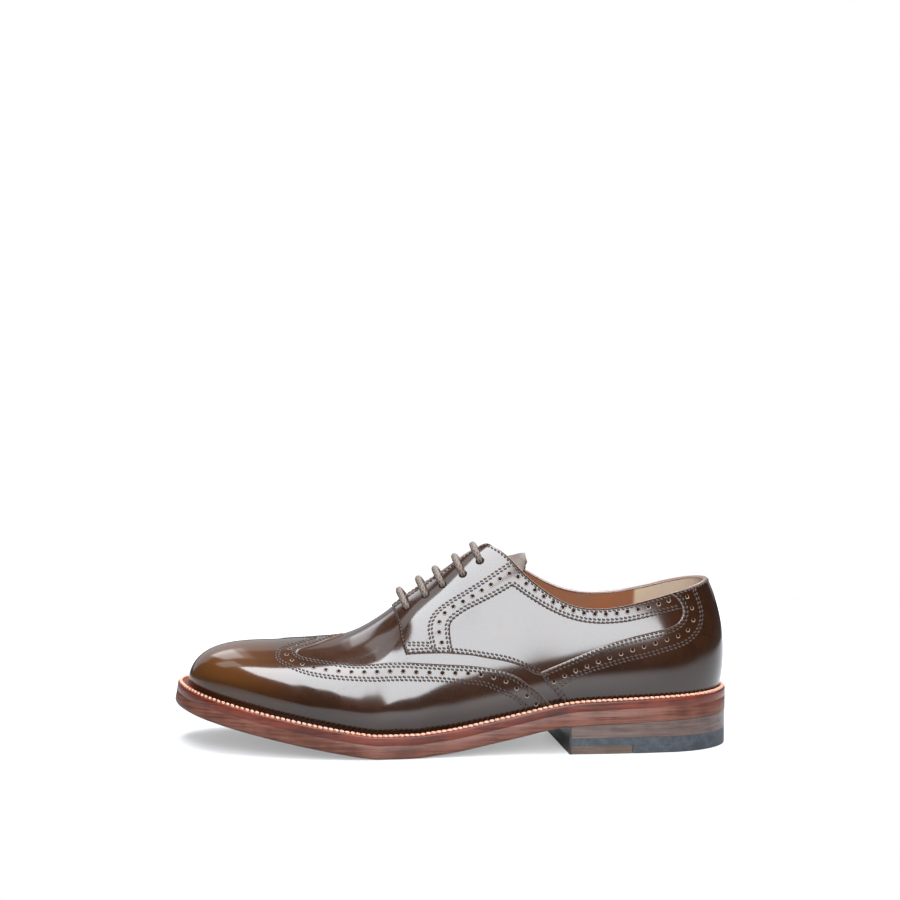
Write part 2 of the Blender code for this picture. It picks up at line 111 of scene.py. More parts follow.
# Stitches and perforations
STITCH_PITCH = 2.4
STITCH_LENGTH = 1.65
STITCH_RADIUS = 0.52
STITCH_FLAT = 0.6
STITCH_SLANT = 22.0
STITCH_SIDES = 5
DOUBLE_ROW_GAP = 1.6
STITCH_LIFT = 0.1
BELOW_TOP = 0.01
ABOVE_FEATHER = 0.002
# Size and lift of the dark patches under the stitches, which paint the shade of their dents
DENT_MARGIN = 0.13
DENT_LIFT = 0.02
DENT_FLAT = 0.12
WELT_STITCH_PITCH = 2.9
WELT_STITCH_LENGTH = 2.75
WELT_STITCH_RADIUS = 0.85
WELT_STITCH_INSET = 1.5
WELT_STITCH_LIFT = 0.25
WELT_STITCH_SLANT = 28.0
WELT_STITCH_SIDES = 10

OutlineRow = namedtuple("OutlineRow", "from_heel across")
SOLE_OUTLINE = [OutlineRow(*row) for row in (
    (0, 0), (6, -17), (20, -28), (45, -33.5), (87, -36), (120, -37), (150, -40.5), (185, -46), (215, -46),
    (245, -41), (272, -32), (290, -21), (300, -8), (305, 10), (301, 26), (291, 38), (275, 46.5), (250, 53),
    (222, 55.5), (190, 52.5), (155, 40), (120, 32), (87, 32), (45, 33), (20, 28), (6, 17))]

SoleRow = namedtuple("SoleRow", "from_heel bottom shelf")
SOLE_ROWS = [SoleRow(*row) for row in (
    (0, 18.6, 4.4), (40, 17.3, 4.8), (70, 16.2, 5), (90, 14.8, 5), (116, 9.3, 5), (135, 5.3, 5.2),
    (149, 2.6, 5.4), (168, 0.3, 5.6), (181, -0.9, 5.8), (193, -0.1, 5.8), (216, 3.4, 6), (250, 9.8, 6.2),
    (283, 16.8, 6.4), (305, 21.8, 6.4))]

LastRow = namedtuple("LastRow", "from_heel ridge widest swell_lateral swell_medial "
                                "pinch_lateral pinch_medial")
LAST_ROWS = [LastRow(*row) for row in (
    (40, 116, 18, 2.6, 2.2, 0.3, 0.45),
    (90, 118, 16, 2.4, 1.2, 0.3, 0.44),
    (115, 116.5, 15, 2.2, 0.8, 0.28, 0.34),
    (137, 109.6, 14, 2.2, 0.8, 0.25, 0.22),
    (160, 92.2, 13, 2.4, 1.2, 0.2, 0.15),
    (176, 81, 12.5, 2.5, 1.5, 0.16, 0.12),
    (190, 70.5, 12, 2.6, 1.8, 0.12, 0.08),
    (210, 59.6, 11, 2.6, 2.2, 0.05, 0.02),
    (235, 55.8, 10, 2.4, 2.2, 0, 0),
    (260, 54.6, 10, 2, 2, -0.05, -0.05),
    (280, 56, 10, 1.6, 1.6, -0.1, -0.1),
    (300, 60, 10, 1.4, 1.4, -0.1, -0.1))]

ToplineRow = namedtuple("ToplineRow", "from_heel lateral medial")
TOPLINE_ROWS = [ToplineRow(*row) for row in (
    (8, 91.6, 92), (20, 88.7, 89.5), (45, 82.4, 83), (70, 77.9, 80), (90, 80.6, 83), (105, 89.4, 90.5),
    (115, 98, 97), (122, 105, 102), (133, 111.5, 109.5), (145, 119, 119))]

TongueRow = namedtuple("TongueRow", "from_heel crest half_width")
TONGUE_ROWS = [TongueRow(*row) for row in (
    (111, 104.6, 7), (113.5, 104.6, 14), (117, 103.8, 20), (122, 102.9, 24.5), (134, 101.5, 27),
    (145, 97, 25), (160, 87, 23), (176, 76, 21), (190, 65.5, 19), (200, 59.4, 17))]

# Edges of the panels, each place as way and up, paired with the place on the panel's other edge
PairRow = namedtuple("PairRow", "edge_way edge_up other_way other_up")
WING_EDGE = ((211, 1), (217, 0.955), (222, 0.905), (227, 0.85), (233, 0.8), (236, 0.76), (236.5, 0.725),
             (234, 0.67), (228, 0.635), (220, 0.6), (211, 0.56), (189, 0.46), (159, 0.338), (147, 0.296),
             (135, 0.256), (125, 0.222), (117, 0.185), (110, 0.13), (104, 0.063), (99, 0))
VAMP_ROWS = [PairRow(*row) for row in (
    (217, 1, 172, 1), (223, 0.95, 172, 0.95), (228, 0.9, 172, 0.9), (233, 0.845, 171.5, 0.84),
    (239, 0.79, 171, 0.78), (241, 0.735, 170.5, 0.72), (239, 0.655, 170, 0.64), (231, 0.61, 169, 0.59),
    (221, 0.565, 168, 0.54), (211, 0.525, 166, 0.5), (189, 0.425, 160, 0.45), (159, 0.303, 140, 0.36),
    (147, 0.262, 128, 0.31), (135, 0.222, 118, 0.275), (125, 0.185, 108, 0.24), (117, 0.145, 100, 0.205),
    (112, 0.1, 95, 0.15), (107, 0.04, 88, 0.06), (105, 0, 84, 0))]
QUARTER_ROWS = [PairRow(*row) for row in (
    (160, 0.392, 158.5, 0.42), (156, 0.375, 158.5, 0.49), (152, 0.358, 155, 0.54), (147, 0.338, 148, 0.546),
    (141, 0.315, 139, 0.546), (135, 0.291, 130, 0.553), (128, 0.268, 124, 0.567), (122, 0.248, 119.5, 0.58),
    (117, 0.228, 115, 0.54), (113, 0.208, 110, 0.505), (106, 0.172, 103, 0.458), (98, 0.165, 95, 0.415),
    (85, 0.175, 84, 0.378), (70, 0.195, 70, 0.362), (50, 0.225, 50, 0.375), (35, 0.245, 35, 0.4),
    (20, 0.255, 20, 0.42))]
TOP = -1.0
FACING_ROWS = [PairRow(*row) for row in (
    (177.5, 0.451, 152, 0.362), (179.5, 0.53, 153.5, 0.465), (181, 0.65, 152.5, 0.505),
    (183, 0.8, 151, 0.513), (184.5, TOP, 149, 0.517), (175, TOP, 145, 0.517), (165, TOP, 141, 0.517),
    (155, TOP, 136, 0.518), (146, TOP, 131, 0.522), (139, TOP, 126.5, 0.53), (134, TOP, 123, 0.538),
    (129, TOP, 119.5, 0.546), (122, TOP, 117.5, 0.532), (115, TOP, 113.5, 0.5), (108, TOP, 107.5, 0.46),
    (101, TOP, 101, 0.419), (94, TOP, 94, 0.386), (87, TOP, 87, 0.359), (80, TOP, 80, 0.344),
    (73, TOP, 73, 0.336), (65, TOP, 65, 0.336), (58, TOP, 58, 0.339), (50, TOP, 50, 0.35),
    (43, TOP, 43, 0.361), (36, TOP, 36, 0.373), (28, TOP, 28, 0.387), (20, TOP, 20, 0.4))]
QUARTER_TOP_CORNER = 7
FACING_FRONT_CORNER = 4
FACING_TOP_CORNER = 11
FOXING_ROWS = [PairRow(*row) for row in (
    (105.5, 0.182, 92, 0), (97, 0.193, 86, 0), (87, 0.21, 79, 0), (80, 0.226, 74, 0), (73, 0.243, 68, 0),
    (58, 0.271, 54, 0), (43, 0.293, 37, 0), (36, 0.305, 19, 0), (31.5, 0.322, 0, 0),
    (29, 0.345, 0, 0.12), (28, 0.37, 0, 0.24), (28.5, 0.405, 0, 0.35), (30.5, 0.435, 0, 0.43),
    (34, TOP, 0, TOP))]
FOXING_BACK_CORNER = 8

# Rows of stitches and perforations on the upper
WING_TOE_ROW = ((226, 1), (229.5, 0.965), (236, 0.905), (242, 0.842), (246, 0.772), (247, 0.694),
                (245.5, 0.6), (241, 0.55), (235, 0.5), (227, 0.463), (220, 0.444), (210, 0.42),
                (185, 0.345), (159, 0.27), (147, 0.232), (135, 0.195), (129, 0.168), (122, 0.125),
                (117, 0.08), (112.5, 0.03))
WING_HOLES = ((219.5, 1), (224, 0.96), (230, 0.905), (236, 0.845), (240.5, 0.78), (242, 0.715),
              (241, 0.645), (236.5, 0.59), (230, 0.546), (221, 0.508), (212, 0.481), (185, 0.386),
              (157, 0.291), (147, 0.263), (135, 0.225), (126, 0.193), (120, 0.16), (114, 0.105),
              (107.5, 0.03))
QUARTER_EDGE = ((177.5, 0.451), (162, 0.398), (147, 0.338), (135, 0.291), (122, 0.248), (113, 0.208),
                (106, 0.174))
FACING_FRONT = [row[:2] for row in FACING_ROWS[:FACING_FRONT_CORNER]] + [(184.5, 0.91)]
FACING_OUTER_ROW = ((162, 0.40), (164, 0.5), (164, 0.545), (161.5, 0.59), (157, 0.607), (148, 0.607),
                    (135, 0.612), (120.5, 0.66))
FACING_INNER_ROW = ((153.5, 0.366), (155, 0.455), (154.5, 0.51), (150, 0.529), (138, 0.529), (129, 0.536),
                    (119.5, 0.56))
COLLAR_ROW = ((119.5, 0.56), (115.5, 0.528), (101, 0.431), (87, 0.371), (73, 0.348), (58, 0.351), (43, 0.373),
              (30, 0.394))
FACING_FOOT = ((177, 0.449), (162, 0.398), (153.5, 0.366))
FACING_BAR = ((176.5, 0.506), (164.5, 0.45))
STRIP_HOLES = ((158.2, 0.43), (159.5, 0.49), (159, 0.54), (155.5, 0.568), (148, 0.568), (135, 0.572),
               (119.5, 0.612), (113.5, 0.555), (108, 0.51), (101, 0.461), (94, 0.422), (87, 0.396),
               (80, 0.381), (73, 0.375), (65, 0.375), (58, 0.381), (50, 0.393), (43, 0.407), (35, 0.427))
STRIP_HOLES_CORNER = 6
FOXING_EDGE = [row[:2] for row in FOXING_ROWS[:-1]] + [(33, 0.455)]
FOXING_FRONT = ((105.4, 0.178), (102.5, 0.13), (97, 0.07), (92, 0.005))
FOXING_ROW = ((95, 0.105), (86, 0.138), (73, 0.163), (58, 0.185), (43, 0.203), (34, 0.221), (26, 0.248),
              (20.5, 0.3), (18.5, 0.353), (18.5, 0.42), (19, 0.475))
FOXING_HOLES = ((98, 0.128), (94, 0.14), (76, 0.18), (58, 0.216), (43, 0.242), (36, 0.256), (28, 0.281),
                (24, 0.315), (23, 0.36), (23.3, 0.4), (24.3, 0.437))

# Creases and dents of the leather: middle, direction in degrees from the length, half sizes and depth
Crease = namedtuple("Crease", "way up lean length width depth")
CREASES = [Crease(*row) for row in (
    (232, 0.27, 60, 12, 5, 0.14), (214, 0.24, 75, 12, 5, -0.12), (200, 0.26, 80, 14, 6, 0.16),
    (186, 0.24, 95, 12, 5, -0.1), (176, 0.27, 100, 14, 6, 0.14), (163, 0.22, 80, 12, 6, -0.1),
    (150, 0.22, 70, 12, 6, 0.12), (205, 0.7, 95, 20, 5, 0.15), (196, 0.72, 90, 20, 5, -0.1),
    (168, 0.62, 0, 16, 16, -0.8))]

# The hollow of the vamp in front of the facings
Hollow = namedtuple("Hollow", "depth back deepest front low high")
VAMP_HOLLOW = Hollow(2.0, 170.0, 193.0, 219.0, 0.4, 0.6)


def spline(knots, values, closed=False):
    """Smooth curve through a table's column, as a function of the knot."""
    t = np.asarray(knots, float)
    y = np.asarray(values, float)
    step = np.diff(t)
    slope = np.diff(y) / step
    count = len(step) if closed else len(t)
    matrix = np.eye(count)
    right = np.zeros(count)
    for i in range(0 if closed else 1, count if closed else count - 1):
        matrix[i, i] = 2 * (step[i - 1] + step[i])
        matrix[i, i - 1] = step[i - 1]
        matrix[i, (i + 1) % count] = step[i]
        right[i] = 6 * (slope[i] - slope[i - 1])
    bend = np.linalg.solve(matrix, right)
    if closed:
        bend = np.append(bend, bend[0])

    def curve(x):
        i = np.clip(np.searchsorted(t, x) - 1, 0, len(step) - 1)
        a = (t[i + 1] - x) / step[i]
        b = (x - t[i]) / step[i]
        lift = (a ** 3 - a) * bend[i] + (b ** 3 - b) * bend[i + 1]
        return a * y[i] + b * y[i + 1] + lift * step[i] ** 2 / 6

    return curve


def column(rows, name):
    """One column of a table as a smooth function of the distance from the heel."""
    return spline([row.from_heel for row in rows], [getattr(row, name) for row in rows])


def closed_outline(rows, count=2400):
    """Dense points on the closed curve through the rows of an outline."""
    points = np.array(rows + rows[:1], float)
    along = np.append(0, np.cumsum(np.hypot(*np.diff(points, axis=0).T)))
    at = np.linspace(0, along[-1], count, endpoint=False)
    return np.column_stack([spline(along, points[:, k], closed=True)(at) for k in (0, 1)])


def inset(outline, distance):
    """The outline moved inward by a distance, which may vary from point to point."""
    ahead = np.roll(outline, -1, axis=0) - np.roll(outline, 1, axis=0)
    inward = np.column_stack([-ahead[:, 1], ahead[:, 0]])
    inward /= np.hypot(*inward.T)[:, None]
    return outline + inward * np.reshape(distance, (-1, 1))


def two_sides(outline):
    """The lateral and the medial edge of an outline, each from the heel to the toe."""
    turned = np.roll(outline, -outline[:, 0].argmin(), axis=0)
    toe = turned[:, 0].argmax()
    return turned[:toe + 1], np.vstack([turned[toe:], turned[:1]])[::-1]


def across_at(side, from_heel):
    """Position across the shoe of one edge at the given distances from the heel."""
    return np.interp(from_heel, side[:, 0], side[:, 1])


SOLE_EDGE = closed_outline(SOLE_OUTLINE)
SOLE_MIDDLE = (SOLE_EDGE.min(axis=0) + SOLE_EDGE.max(axis=0)) / 2
sole_bottom_curve = column(SOLE_ROWS, "bottom")
shelf_width = column(SOLE_ROWS, "shelf")


def edge_lean(from_heel):
    """How far the top of the welt stands back from the sole's edge where the toe springs up."""
    return TOE_EDGE_LEAN * np.clip((from_heel - TOE_LEAN_START) / (LENGTH - TOE_LEAN_START), 0, 1) ** 2


WELT_FOOT = inset(SOLE_EDGE, 0.6 * edge_lean(SOLE_EDGE[:, 0]))
WELT_EDGE = inset(SOLE_EDGE, edge_lean(SOLE_EDGE[:, 0]))
FEATHER_EDGE = inset(WELT_EDGE, shelf_width(SOLE_EDGE[:, 0]))
FEATHER_LATERAL, FEATHER_MEDIAL = two_sides(FEATHER_EDGE)
TOE_TIP = FEATHER_EDGE[FEATHER_EDGE[:, 0].argmax()]


def to_world(points):
    """Shoe measurements (from heel, across, height) in millimetres to metres in the world."""
    points = np.asarray(points, float)
    place = np.empty_like(points)
    place[..., 0] = (SOLE_MIDDLE[0] - points[..., 0]) * MM
    place[..., 1] = (points[..., 1] - SOLE_MIDDLE[1]) * MM
    place[..., 2] = points[..., 2] * MM
    return place


def sole_bottom(from_heel):
    """Underside of the outsole, flat on the floor under the tread."""
    return np.maximum(sole_bottom_curve(from_heel), 0)


def outsole_top(from_heel):
    return sole_bottom(from_heel) + OUTSOLE_THICK


def welt_bottom(from_heel):
    return outsole_top(from_heel) + CLEARANCE


def welt_top(from_heel):
    return welt_bottom(from_heel) + WELT_THICK


def feather_height(from_heel):
    """Foot of the upper, where it stands on the welt."""
    return welt_top(from_heel) + CLEARANCE


LAST = {name: column(LAST_ROWS, name) for name in LastRow._fields[1:]}
TOPLINE = {name: column(TOPLINE_ROWS, name) for name in ToplineRow._fields[1:]}
TONGUE = {name: column(TONGUE_ROWS, name) for name in TongueRow._fields[1:]}


def ridge_across(from_heel):
    """The ridge runs straight from the middle of the heel to the tip of the toe."""
    return TOE_TIP[1] * (np.asarray(from_heel, float) - HEEL_AXIS) / (TOE_TIP[0] - HEEL_AXIS)


def toe_dome(from_heel):
    """Falls from one to nothing over the toe, so the ridge rounds down to the feather line."""
    part = np.clip((from_heel - TOE_DOME_START) / (TOE_TIP[0] - TOE_DOME_START), 0, 1)
    return np.sqrt(1 - part ** TOE_DOME_POWER)


Section = namedtuple("Section", "spine foot low high widest reach pinch")


def front_section(from_heel, side):
    """Half sections across the shoe, on the 'lateral' or the 'medial' side, ahead of the heel."""
    from_heel = np.asarray(from_heel, float)
    edge = FEATHER_LATERAL if side == "lateral" else FEATHER_MEDIAL
    spine = np.column_stack([from_heel, ridge_across(from_heel)])
    foot = np.column_stack([from_heel, across_at(edge, from_heel)])
    dome = toe_dome(from_heel)
    low = feather_height(from_heel)
    high = low + (LAST["ridge"](from_heel) - low) * dome
    widest = low + LAST["widest"](from_heel) * dome
    reach = LAST["swell_" + side](from_heel) * dome
    return Section(spine, foot, low, high, widest, reach, LAST["pinch_" + side](from_heel))


def heel_section(turn):
    """Half sections fanned about the heel axis; turn runs from -90 (lateral) to 90 (medial)."""
    turn = np.radians(np.asarray(turn, float))
    heading = np.column_stack([-np.cos(turn), np.sin(turn)])
    offsets = FEATHER_EDGE - np.array([HEEL_AXIS, 0.0])
    behind = offsets[offsets[:, 0] < 1]
    angles = np.arctan2(behind[:, 1], -behind[:, 0])
    order = angles.argsort()
    radius = np.interp(turn, angles[order], np.hypot(*behind[order].T))
    spine = np.tile([HEEL_AXIS, 0.0], (len(turn), 1))
    foot = spine + heading * radius[:, None]
    back = np.cos(turn) ** 2
    medial = (1 + np.sin(turn)) / 2

    def blend(name, at_back):
        at_sides = [LAST[name + "_" + side](HEEL_AXIS) for side in SIDES]
        return (at_sides[0] * (1 - medial) + at_sides[1] * medial) * (1 - back) + at_back * back

    low = feather_height(foot[:, 0])
    high = np.full(len(turn), float(LAST["ridge"](HEEL_AXIS)))
    widest = low + LAST["widest"](HEEL_AXIS) * (1 - back) + BACK_WIDEST * back
    return Section(spine, foot, low, high, widest, blend("swell", BACK_SWELL), blend("pinch", BACK_PINCH))


def spread(section, angle):
    """Distance from the spine at an angle: zero at the widest point, a right angle at the ridge."""
    radius = np.hypot(*(section.foot - section.spine).T) + section.reach
    return radius * np.cos(angle) * (1 - section.pinch * np.sin(angle) ** 2)


def on_section(section, distance, height):
    """Points on half sections at a distance from the spine and a height."""
    way = section.foot - section.spine
    length = np.maximum(np.hypot(*way.T), 1e-6)[:, None]
    flat = section.spine + way / length * np.reshape(distance, (-1, 1))
    return np.column_stack([flat, height])


def side_point(section, angle):
    """Points on the upper half of the section, above the widest point."""
    height = section.widest + (section.high - section.widest) * np.sin(angle)
    return on_section(section, spread(section, angle), height)


def low_point(section, part):
    """Points between the feather line (part 0) and the widest point (part 1)."""
    distance = spread(section, 0 * section.low) - section.reach * (1 - part) ** 2
    return on_section(section, distance, section.low + (section.widest - section.low) * part)


def angle_at_spread(section, distance):
    """Angle at which the section comes to a distance from its spine."""
    near = np.zeros(len(section.low))
    far = np.full(len(section.low), math.pi / 2)
    for _ in range(40):
        middle = (near + far) / 2
        outside = spread(section, middle) > distance
        near = np.where(outside, middle, near)
        far = np.where(outside, far, middle)
    return (near + far) / 2


def throat_half_gap(from_heel):
    """Half the gap between the facings, closing to a point at the front of the throat."""
    part = np.clip((THROAT_FRONT - from_heel) / THROAT_TAPER, 0, 1)
    return THROAT_HALF_GAP * part * part * (3 - 2 * part)


def top_angle(section, side):
    """Where the upper ends on each section: ridge, edge of the facing or topline."""
    open_throat = throat_half_gap(section.spine[:, 0])
    facing = np.where(open_throat > 0, angle_at_spread(section, open_throat), math.pi / 2)
    topline = np.full(len(facing), math.radians(30))
    for _ in range(4):
        from_heel = side_point(section, topline)[:, 0]
        rise = (TOPLINE[side](np.minimum(from_heel, TOPLINE_FRONT)) - section.widest) / np.maximum(
            section.high - section.widest, 1e-6)
        topline = np.where(rise < 1, np.arcsin(np.clip(rise, -1, 1)), math.pi)
        topline = np.where(section.spine[:, 0] > TOPLINE_FRONT, math.pi, topline)
    soft = TOPLINE_CORNER
    both = -soft * np.log(np.exp(-facing / soft) + np.exp(-topline / soft))
    return np.where(topline > math.pi / 2, facing, np.minimum(both, math.pi / 2))


def unit(vectors):
    return vectors / np.maximum(np.linalg.norm(vectors, axis=-1, keepdims=True), 1e-9)


# Places on the lasted skin

def sections_at(way, side):
    """The half section at each way, fanned round the heel or square across the shoe."""
    forward = front_section(np.clip(way, HEEL_AXIS, TOE_TIP[0] - TIP_GAP), side)
    round_heel = heel_section(-90 * HAND[side] * np.clip(way / HEEL_AXIS, -1, 1))
    behind = way < HEEL_AXIS

    def chosen(ahead, back):
        return np.where(behind.reshape(-1, *[1] * (ahead.ndim - 1)), back, ahead)

    return Section(*[chosen(*pair) for pair in zip(forward, round_heel)])


def last_skin(way, up, side):
    """Points of the skin over the last, in millimetres."""
    way, up = np.broadcast_arrays(np.asarray(way, float), np.asarray(up, float))
    flat_way, flat_up = way.ravel(), up.ravel()
    section = sections_at(flat_way, side)
    low = low_point(section, np.minimum(flat_up / LOW_SHARE, 1))
    angle = np.maximum(flat_up - LOW_SHARE, 0) / (1 - LOW_SHARE) * math.pi / 2
    points = np.where((flat_up < LOW_SHARE)[:, None], low, side_point(section, angle))
    return points.reshape(*way.shape, 3)


def eased(value, low, high):
    """Goes smoothly from 0 at the low value to 1 at the high one."""
    part = np.clip((value - low) / (high - low), 0, 1)
    return part * part * (3 - 2 * part)


def crease_depth(way, up):
    """How far creases and dents sink the leather there."""
    hollow = VAMP_HOLLOW
    depth = (hollow.depth * eased(way, hollow.back, hollow.deepest) * eased(way, hollow.front, hollow.deepest)
             * eased(up, hollow.low, hollow.high) * eased(up, 1.0, hollow.high))
    for crease in CREASES:
        along, rise = way - crease.way, (up - crease.up) * UP_SPAN
        turn = math.radians(crease.lean)
        ahead = along * math.cos(turn) + rise * math.sin(turn)
        aside = rise * math.cos(turn) - along * math.sin(turn)
        depth += crease.depth * np.exp(-(ahead / crease.length) ** 2 - (aside / crease.width) ** 2)
    return depth


def outward_of(by_way, by_up, side):
    return unit(np.cross(by_way, by_up)) * HAND[side]


def skin(way, up, side):
    """Points of the skin with its creases, in millimetres."""
    way, up = np.broadcast_arrays(np.asarray(way, float), np.asarray(up, float))
    points = last_skin(way, up, side)
    depth = crease_depth(way, up)
    deep = np.abs(depth) > LEAST_DEPTH
    if deep.any():
        there, rise = way[deep], up[deep]
        by_way = last_skin(there + WAY_STEP, rise, side) - last_skin(there - WAY_STEP, rise, side)
        by_up = last_skin(there, rise + UP_STEP, side) - last_skin(there, rise - UP_STEP, side)
        points[deep] -= outward_of(by_way, by_up, side) * depth[deep][:, None]
    return points


def skin_slopes(way, up, side):
    """How the skin moves for one unit of way and for one of up."""
    by_way = (skin(way + WAY_STEP, up, side) - skin(way - WAY_STEP, up, side)) / (2 * WAY_STEP)
    by_up = (skin(way, up + UP_STEP, side) - skin(way, up - UP_STEP, side)) / (2 * UP_STEP)
    return by_way, by_up


def skin_normal(way, up, side):
    return outward_of(*skin_slopes(way, up, side), side)


def raised(way, up, side, height):
    """Points at a height off the skin."""
    way, up = np.asarray(way, float), np.asarray(up, float)
    lift = np.broadcast_to(np.asarray(height, float), way.shape)
    return skin(way, up, side) + skin_normal(way, up, side) * lift[..., None]


def top_up(way, side):
    """Up at the top edge of the shoe: topline, facing edge or ridge."""
    way = np.atleast_1d(np.asarray(way, float))
    own, other = [top_angle(sections_at(way, name), name) for name in (side, OTHER[side])]
    back = np.clip(1 - way / HEEL_AXIS, 0, 1) / 2
    angle = own * (1 - back) + other * back
    return LOW_SHARE + (1 - LOW_SHARE) * angle / (math.pi / 2)


def with_top(points, side):
    """Places of a table, with the mark for the top edge turned into its up."""
    points = np.array(points, float)
    marked = points[:, 1] == TOP
    if marked.any():
        points[marked, 1] = top_up(points[marked, 0], side)
    return points


def chords(points):
    return np.maximum(np.hypot(np.diff(points[:, 0]), np.diff(points[:, 1]) * UP_SPAN), SHORTEST)


def row_steps(lengths, spacing):
    """Number of steps from row to row for a spacing."""
    return np.maximum(np.ceil(lengths / spacing), 2).astype(int)


def run_along(path):
    """Distance along a path at each of its points."""
    return np.append(0, np.cumsum(np.linalg.norm(np.diff(path, axis=0), axis=1)))


def at_places(at, along, table):
    """Rows of a table read off at distances along it."""
    return np.column_stack([np.interp(at, along, column) for column in table.T])


def trace(points, steps, corners=()):
    """Places along a seam, smooth between its corner rows, with a number of steps from row to row."""
    points = np.asarray(points, float)
    cuts = [0, *corners, len(points) - 1]
    runs = []
    for a, b in zip(cuts, cuts[1:]):
        part = points[a:b + 1]
        along = np.append(0, np.cumsum(chords(part)))
        at = np.concatenate([np.linspace(along[i], along[i + 1], steps[a + i], endpoint=False)
                             for i in range(b - a)])
        if b == cuts[-1]:
            at = np.append(at, along[-1])
        runs.append(np.column_stack([spline(along, part[:, k])(at) for k in (0, 1)]))
    return np.vstack(runs)


def seam(points, side, spacing, corners=()):
    """Places along a seam at an even spacing."""
    points = with_top(points, side)
    dense = trace(points, row_steps(chords(points), SEAM_STEP), corners)
    along = run_along(skin(*dense.T, side))
    count = max(int(round(along[-1] / spacing)), 2)
    return at_places(np.linspace(0, along[-1], count + 1), along, dense)


def shift(points, side, distance):
    """Places moved sideways over the skin; positive is up for a seam that runs towards the toe."""
    way, up = points.T
    by_way, by_up = skin_slopes(way, up, side)
    place = skin(way, up, side)
    ahead = unit(np.gradient(place, axis=0))
    sideways = np.cross(skin_normal(way, up, side), ahead) * HAND[side]
    a, b, c = (by_way ** 2).sum(1), (by_way * by_up).sum(1), (by_up ** 2).sum(1)
    e, f = (by_way * sideways).sum(1), (by_up * sideways).sum(1)
    away = np.maximum(a * c - b * b, 1e-9)
    step = np.column_stack([(c * e - b * f) / away, (a * f - b * e) / away])
    return points + np.reshape(distance, (-1, 1)) * step


def moved_seam(line, side, distance):
    """A seam moved sideways, without the folds that would come at its corners."""
    moved = shift(line, side, distance)
    for reach in (1, 2, 3, 4):
        before = (line[reach:] - line[:-reach]) * (1, UP_SPAN)
        after = (moved[reach:] - moved[:-reach]) * (1, UP_SPAN)
        folded = np.sum(before * after, axis=1) < FOLD_LIMIT * np.sum(before * before, axis=1)
        for i in np.flatnonzero(folded):
            moved[i:i + reach + 1] = moved[i:i + reach + 1].mean(axis=0)
    return moved


# Cut of a panel's edge: how far in from the edge, and the height there

def free_edge(height):
    return ((0.0, -0.15), (0.02, 0.45 * height), (0.12, 0.75 * height), (0.35, 0.94 * height), (0.8, height))


def rolled_edge(height):
    return ((0.9, -LINING_DEPTH), (0.3, -LINING_DEPTH + 0.06), (0.05, -LINING_DEPTH + 0.4), (0.0, -0.3),
            (0.0, height - 0.75), (0.05, height - 0.4), (0.25, height - 0.13), (0.6, height - 0.03),
            (1.2, height))


def hidden_edge(height):
    return ((0.0, height),)


Sheet = namedtuple("Sheet", "points normals from_edge up")


def sheet_on(grid, side, heights, from_edge):
    """A sheet at heights off the skin, from a grid of places."""
    way, up = grid[..., 0], grid[..., 1]
    normals = skin_normal(way, up, side)
    return Sheet(skin(way, up, side) + normals * heights[..., None], normals, from_edge, up)


def panel(rows, side, height, edge, other, columns, edge_corners=(), other_corners=(), start=None,
          end=None, spacing=1.6, end_at_top=False, pin=None):
    """A panel of leather between its two long edges, with its cut edges rounded down."""
    edge_rows = with_top([(row.edge_way, row.edge_up) for row in rows], side)
    other_rows = with_top([(row.other_way, row.other_up) for row in rows], side)
    longest = np.maximum(chords(edge_rows), chords(other_rows))
    steps = row_steps(longest, spacing)
    edge_line = trace(edge_rows, steps, edge_corners)
    other_line = trace(other_rows, steps, other_corners)
    across = (other_line - edge_line) * (1, UP_SPAN)
    trial = (shift(edge_line, side, 1.0) - edge_line) * (1, UP_SPAN)
    turn = 1 if np.sum(across * trial) > 0 else -1
    lines = [(moved_seam(edge_line, side, turn * far), level, far) for far, level in edge(height)]
    far_lines = [(moved_seam(other_line, side, -turn * far), level, far)
                 for far, level in other(height)][::-1]
    first, last = lines[-1], far_lines[0]
    width = np.linalg.norm(skin(*first[0].T, side) - skin(*last[0].T, side), axis=1).mean()
    middle = []
    for part in np.linspace(0, 1, columns + 1)[1:-1]:
        middle.append((first[0] * (1 - part) + last[0] * part, height, min(part, 1 - part) * width + 1))
    everything = lines + middle + far_lines
    grid = np.stack([line for line, _, _ in everything], axis=1)
    levels = np.tile([level for _, level, _ in everything], (len(grid), 1))
    inside = np.tile([far for _, _, far in everything], (len(grid), 1))
    if end_at_top:
        grid[-1, :, 1] = top_up(grid[-1, :, 0], side)
    for profile, at_end in ((start, False), (end, True)):
        if profile is None:
            continue
        base = grid[-1] if at_end else grid[0]
        beyond = grid[-2] if at_end else grid[1]
        inward = (beyond - base) * (1, UP_SPAN)
        step_in = (shift(base, side, 1.0) - base) * (1, UP_SPAN)
        way_in = 1 if np.sum(inward * step_in) > 0 else -1
        room = np.linalg.norm(skin(*base.T, side) - skin(*beyond.T, side), axis=1)
        extra = [(shift(base, side, way_in * np.minimum(far, room * END_SHARE)), level, far)
                 for far, level in profile(height)]
        new_grid = np.stack([line for line, _, _ in extra])
        own = levels[-1] if at_end else levels[0]
        new_levels = np.stack([np.minimum(own, level) for _, level, _ in extra])
        new_inside = np.stack([np.minimum(inside[0], far) for _, _, far in extra])
        if at_end:
            grid = np.concatenate([grid[:-1], new_grid[::-1]])
            levels = np.concatenate([levels[:-1], new_levels[::-1]])
            inside = np.concatenate([inside[:-1], new_inside[::-1]])
        else:
            grid = np.concatenate([new_grid, grid[1:]])
            levels = np.concatenate([new_levels, levels[1:]])
            inside = np.concatenate([new_inside, inside[1:]])
    if pin is not None:
        pin(grid)
    return sheet_on(grid, side, levels, inside)


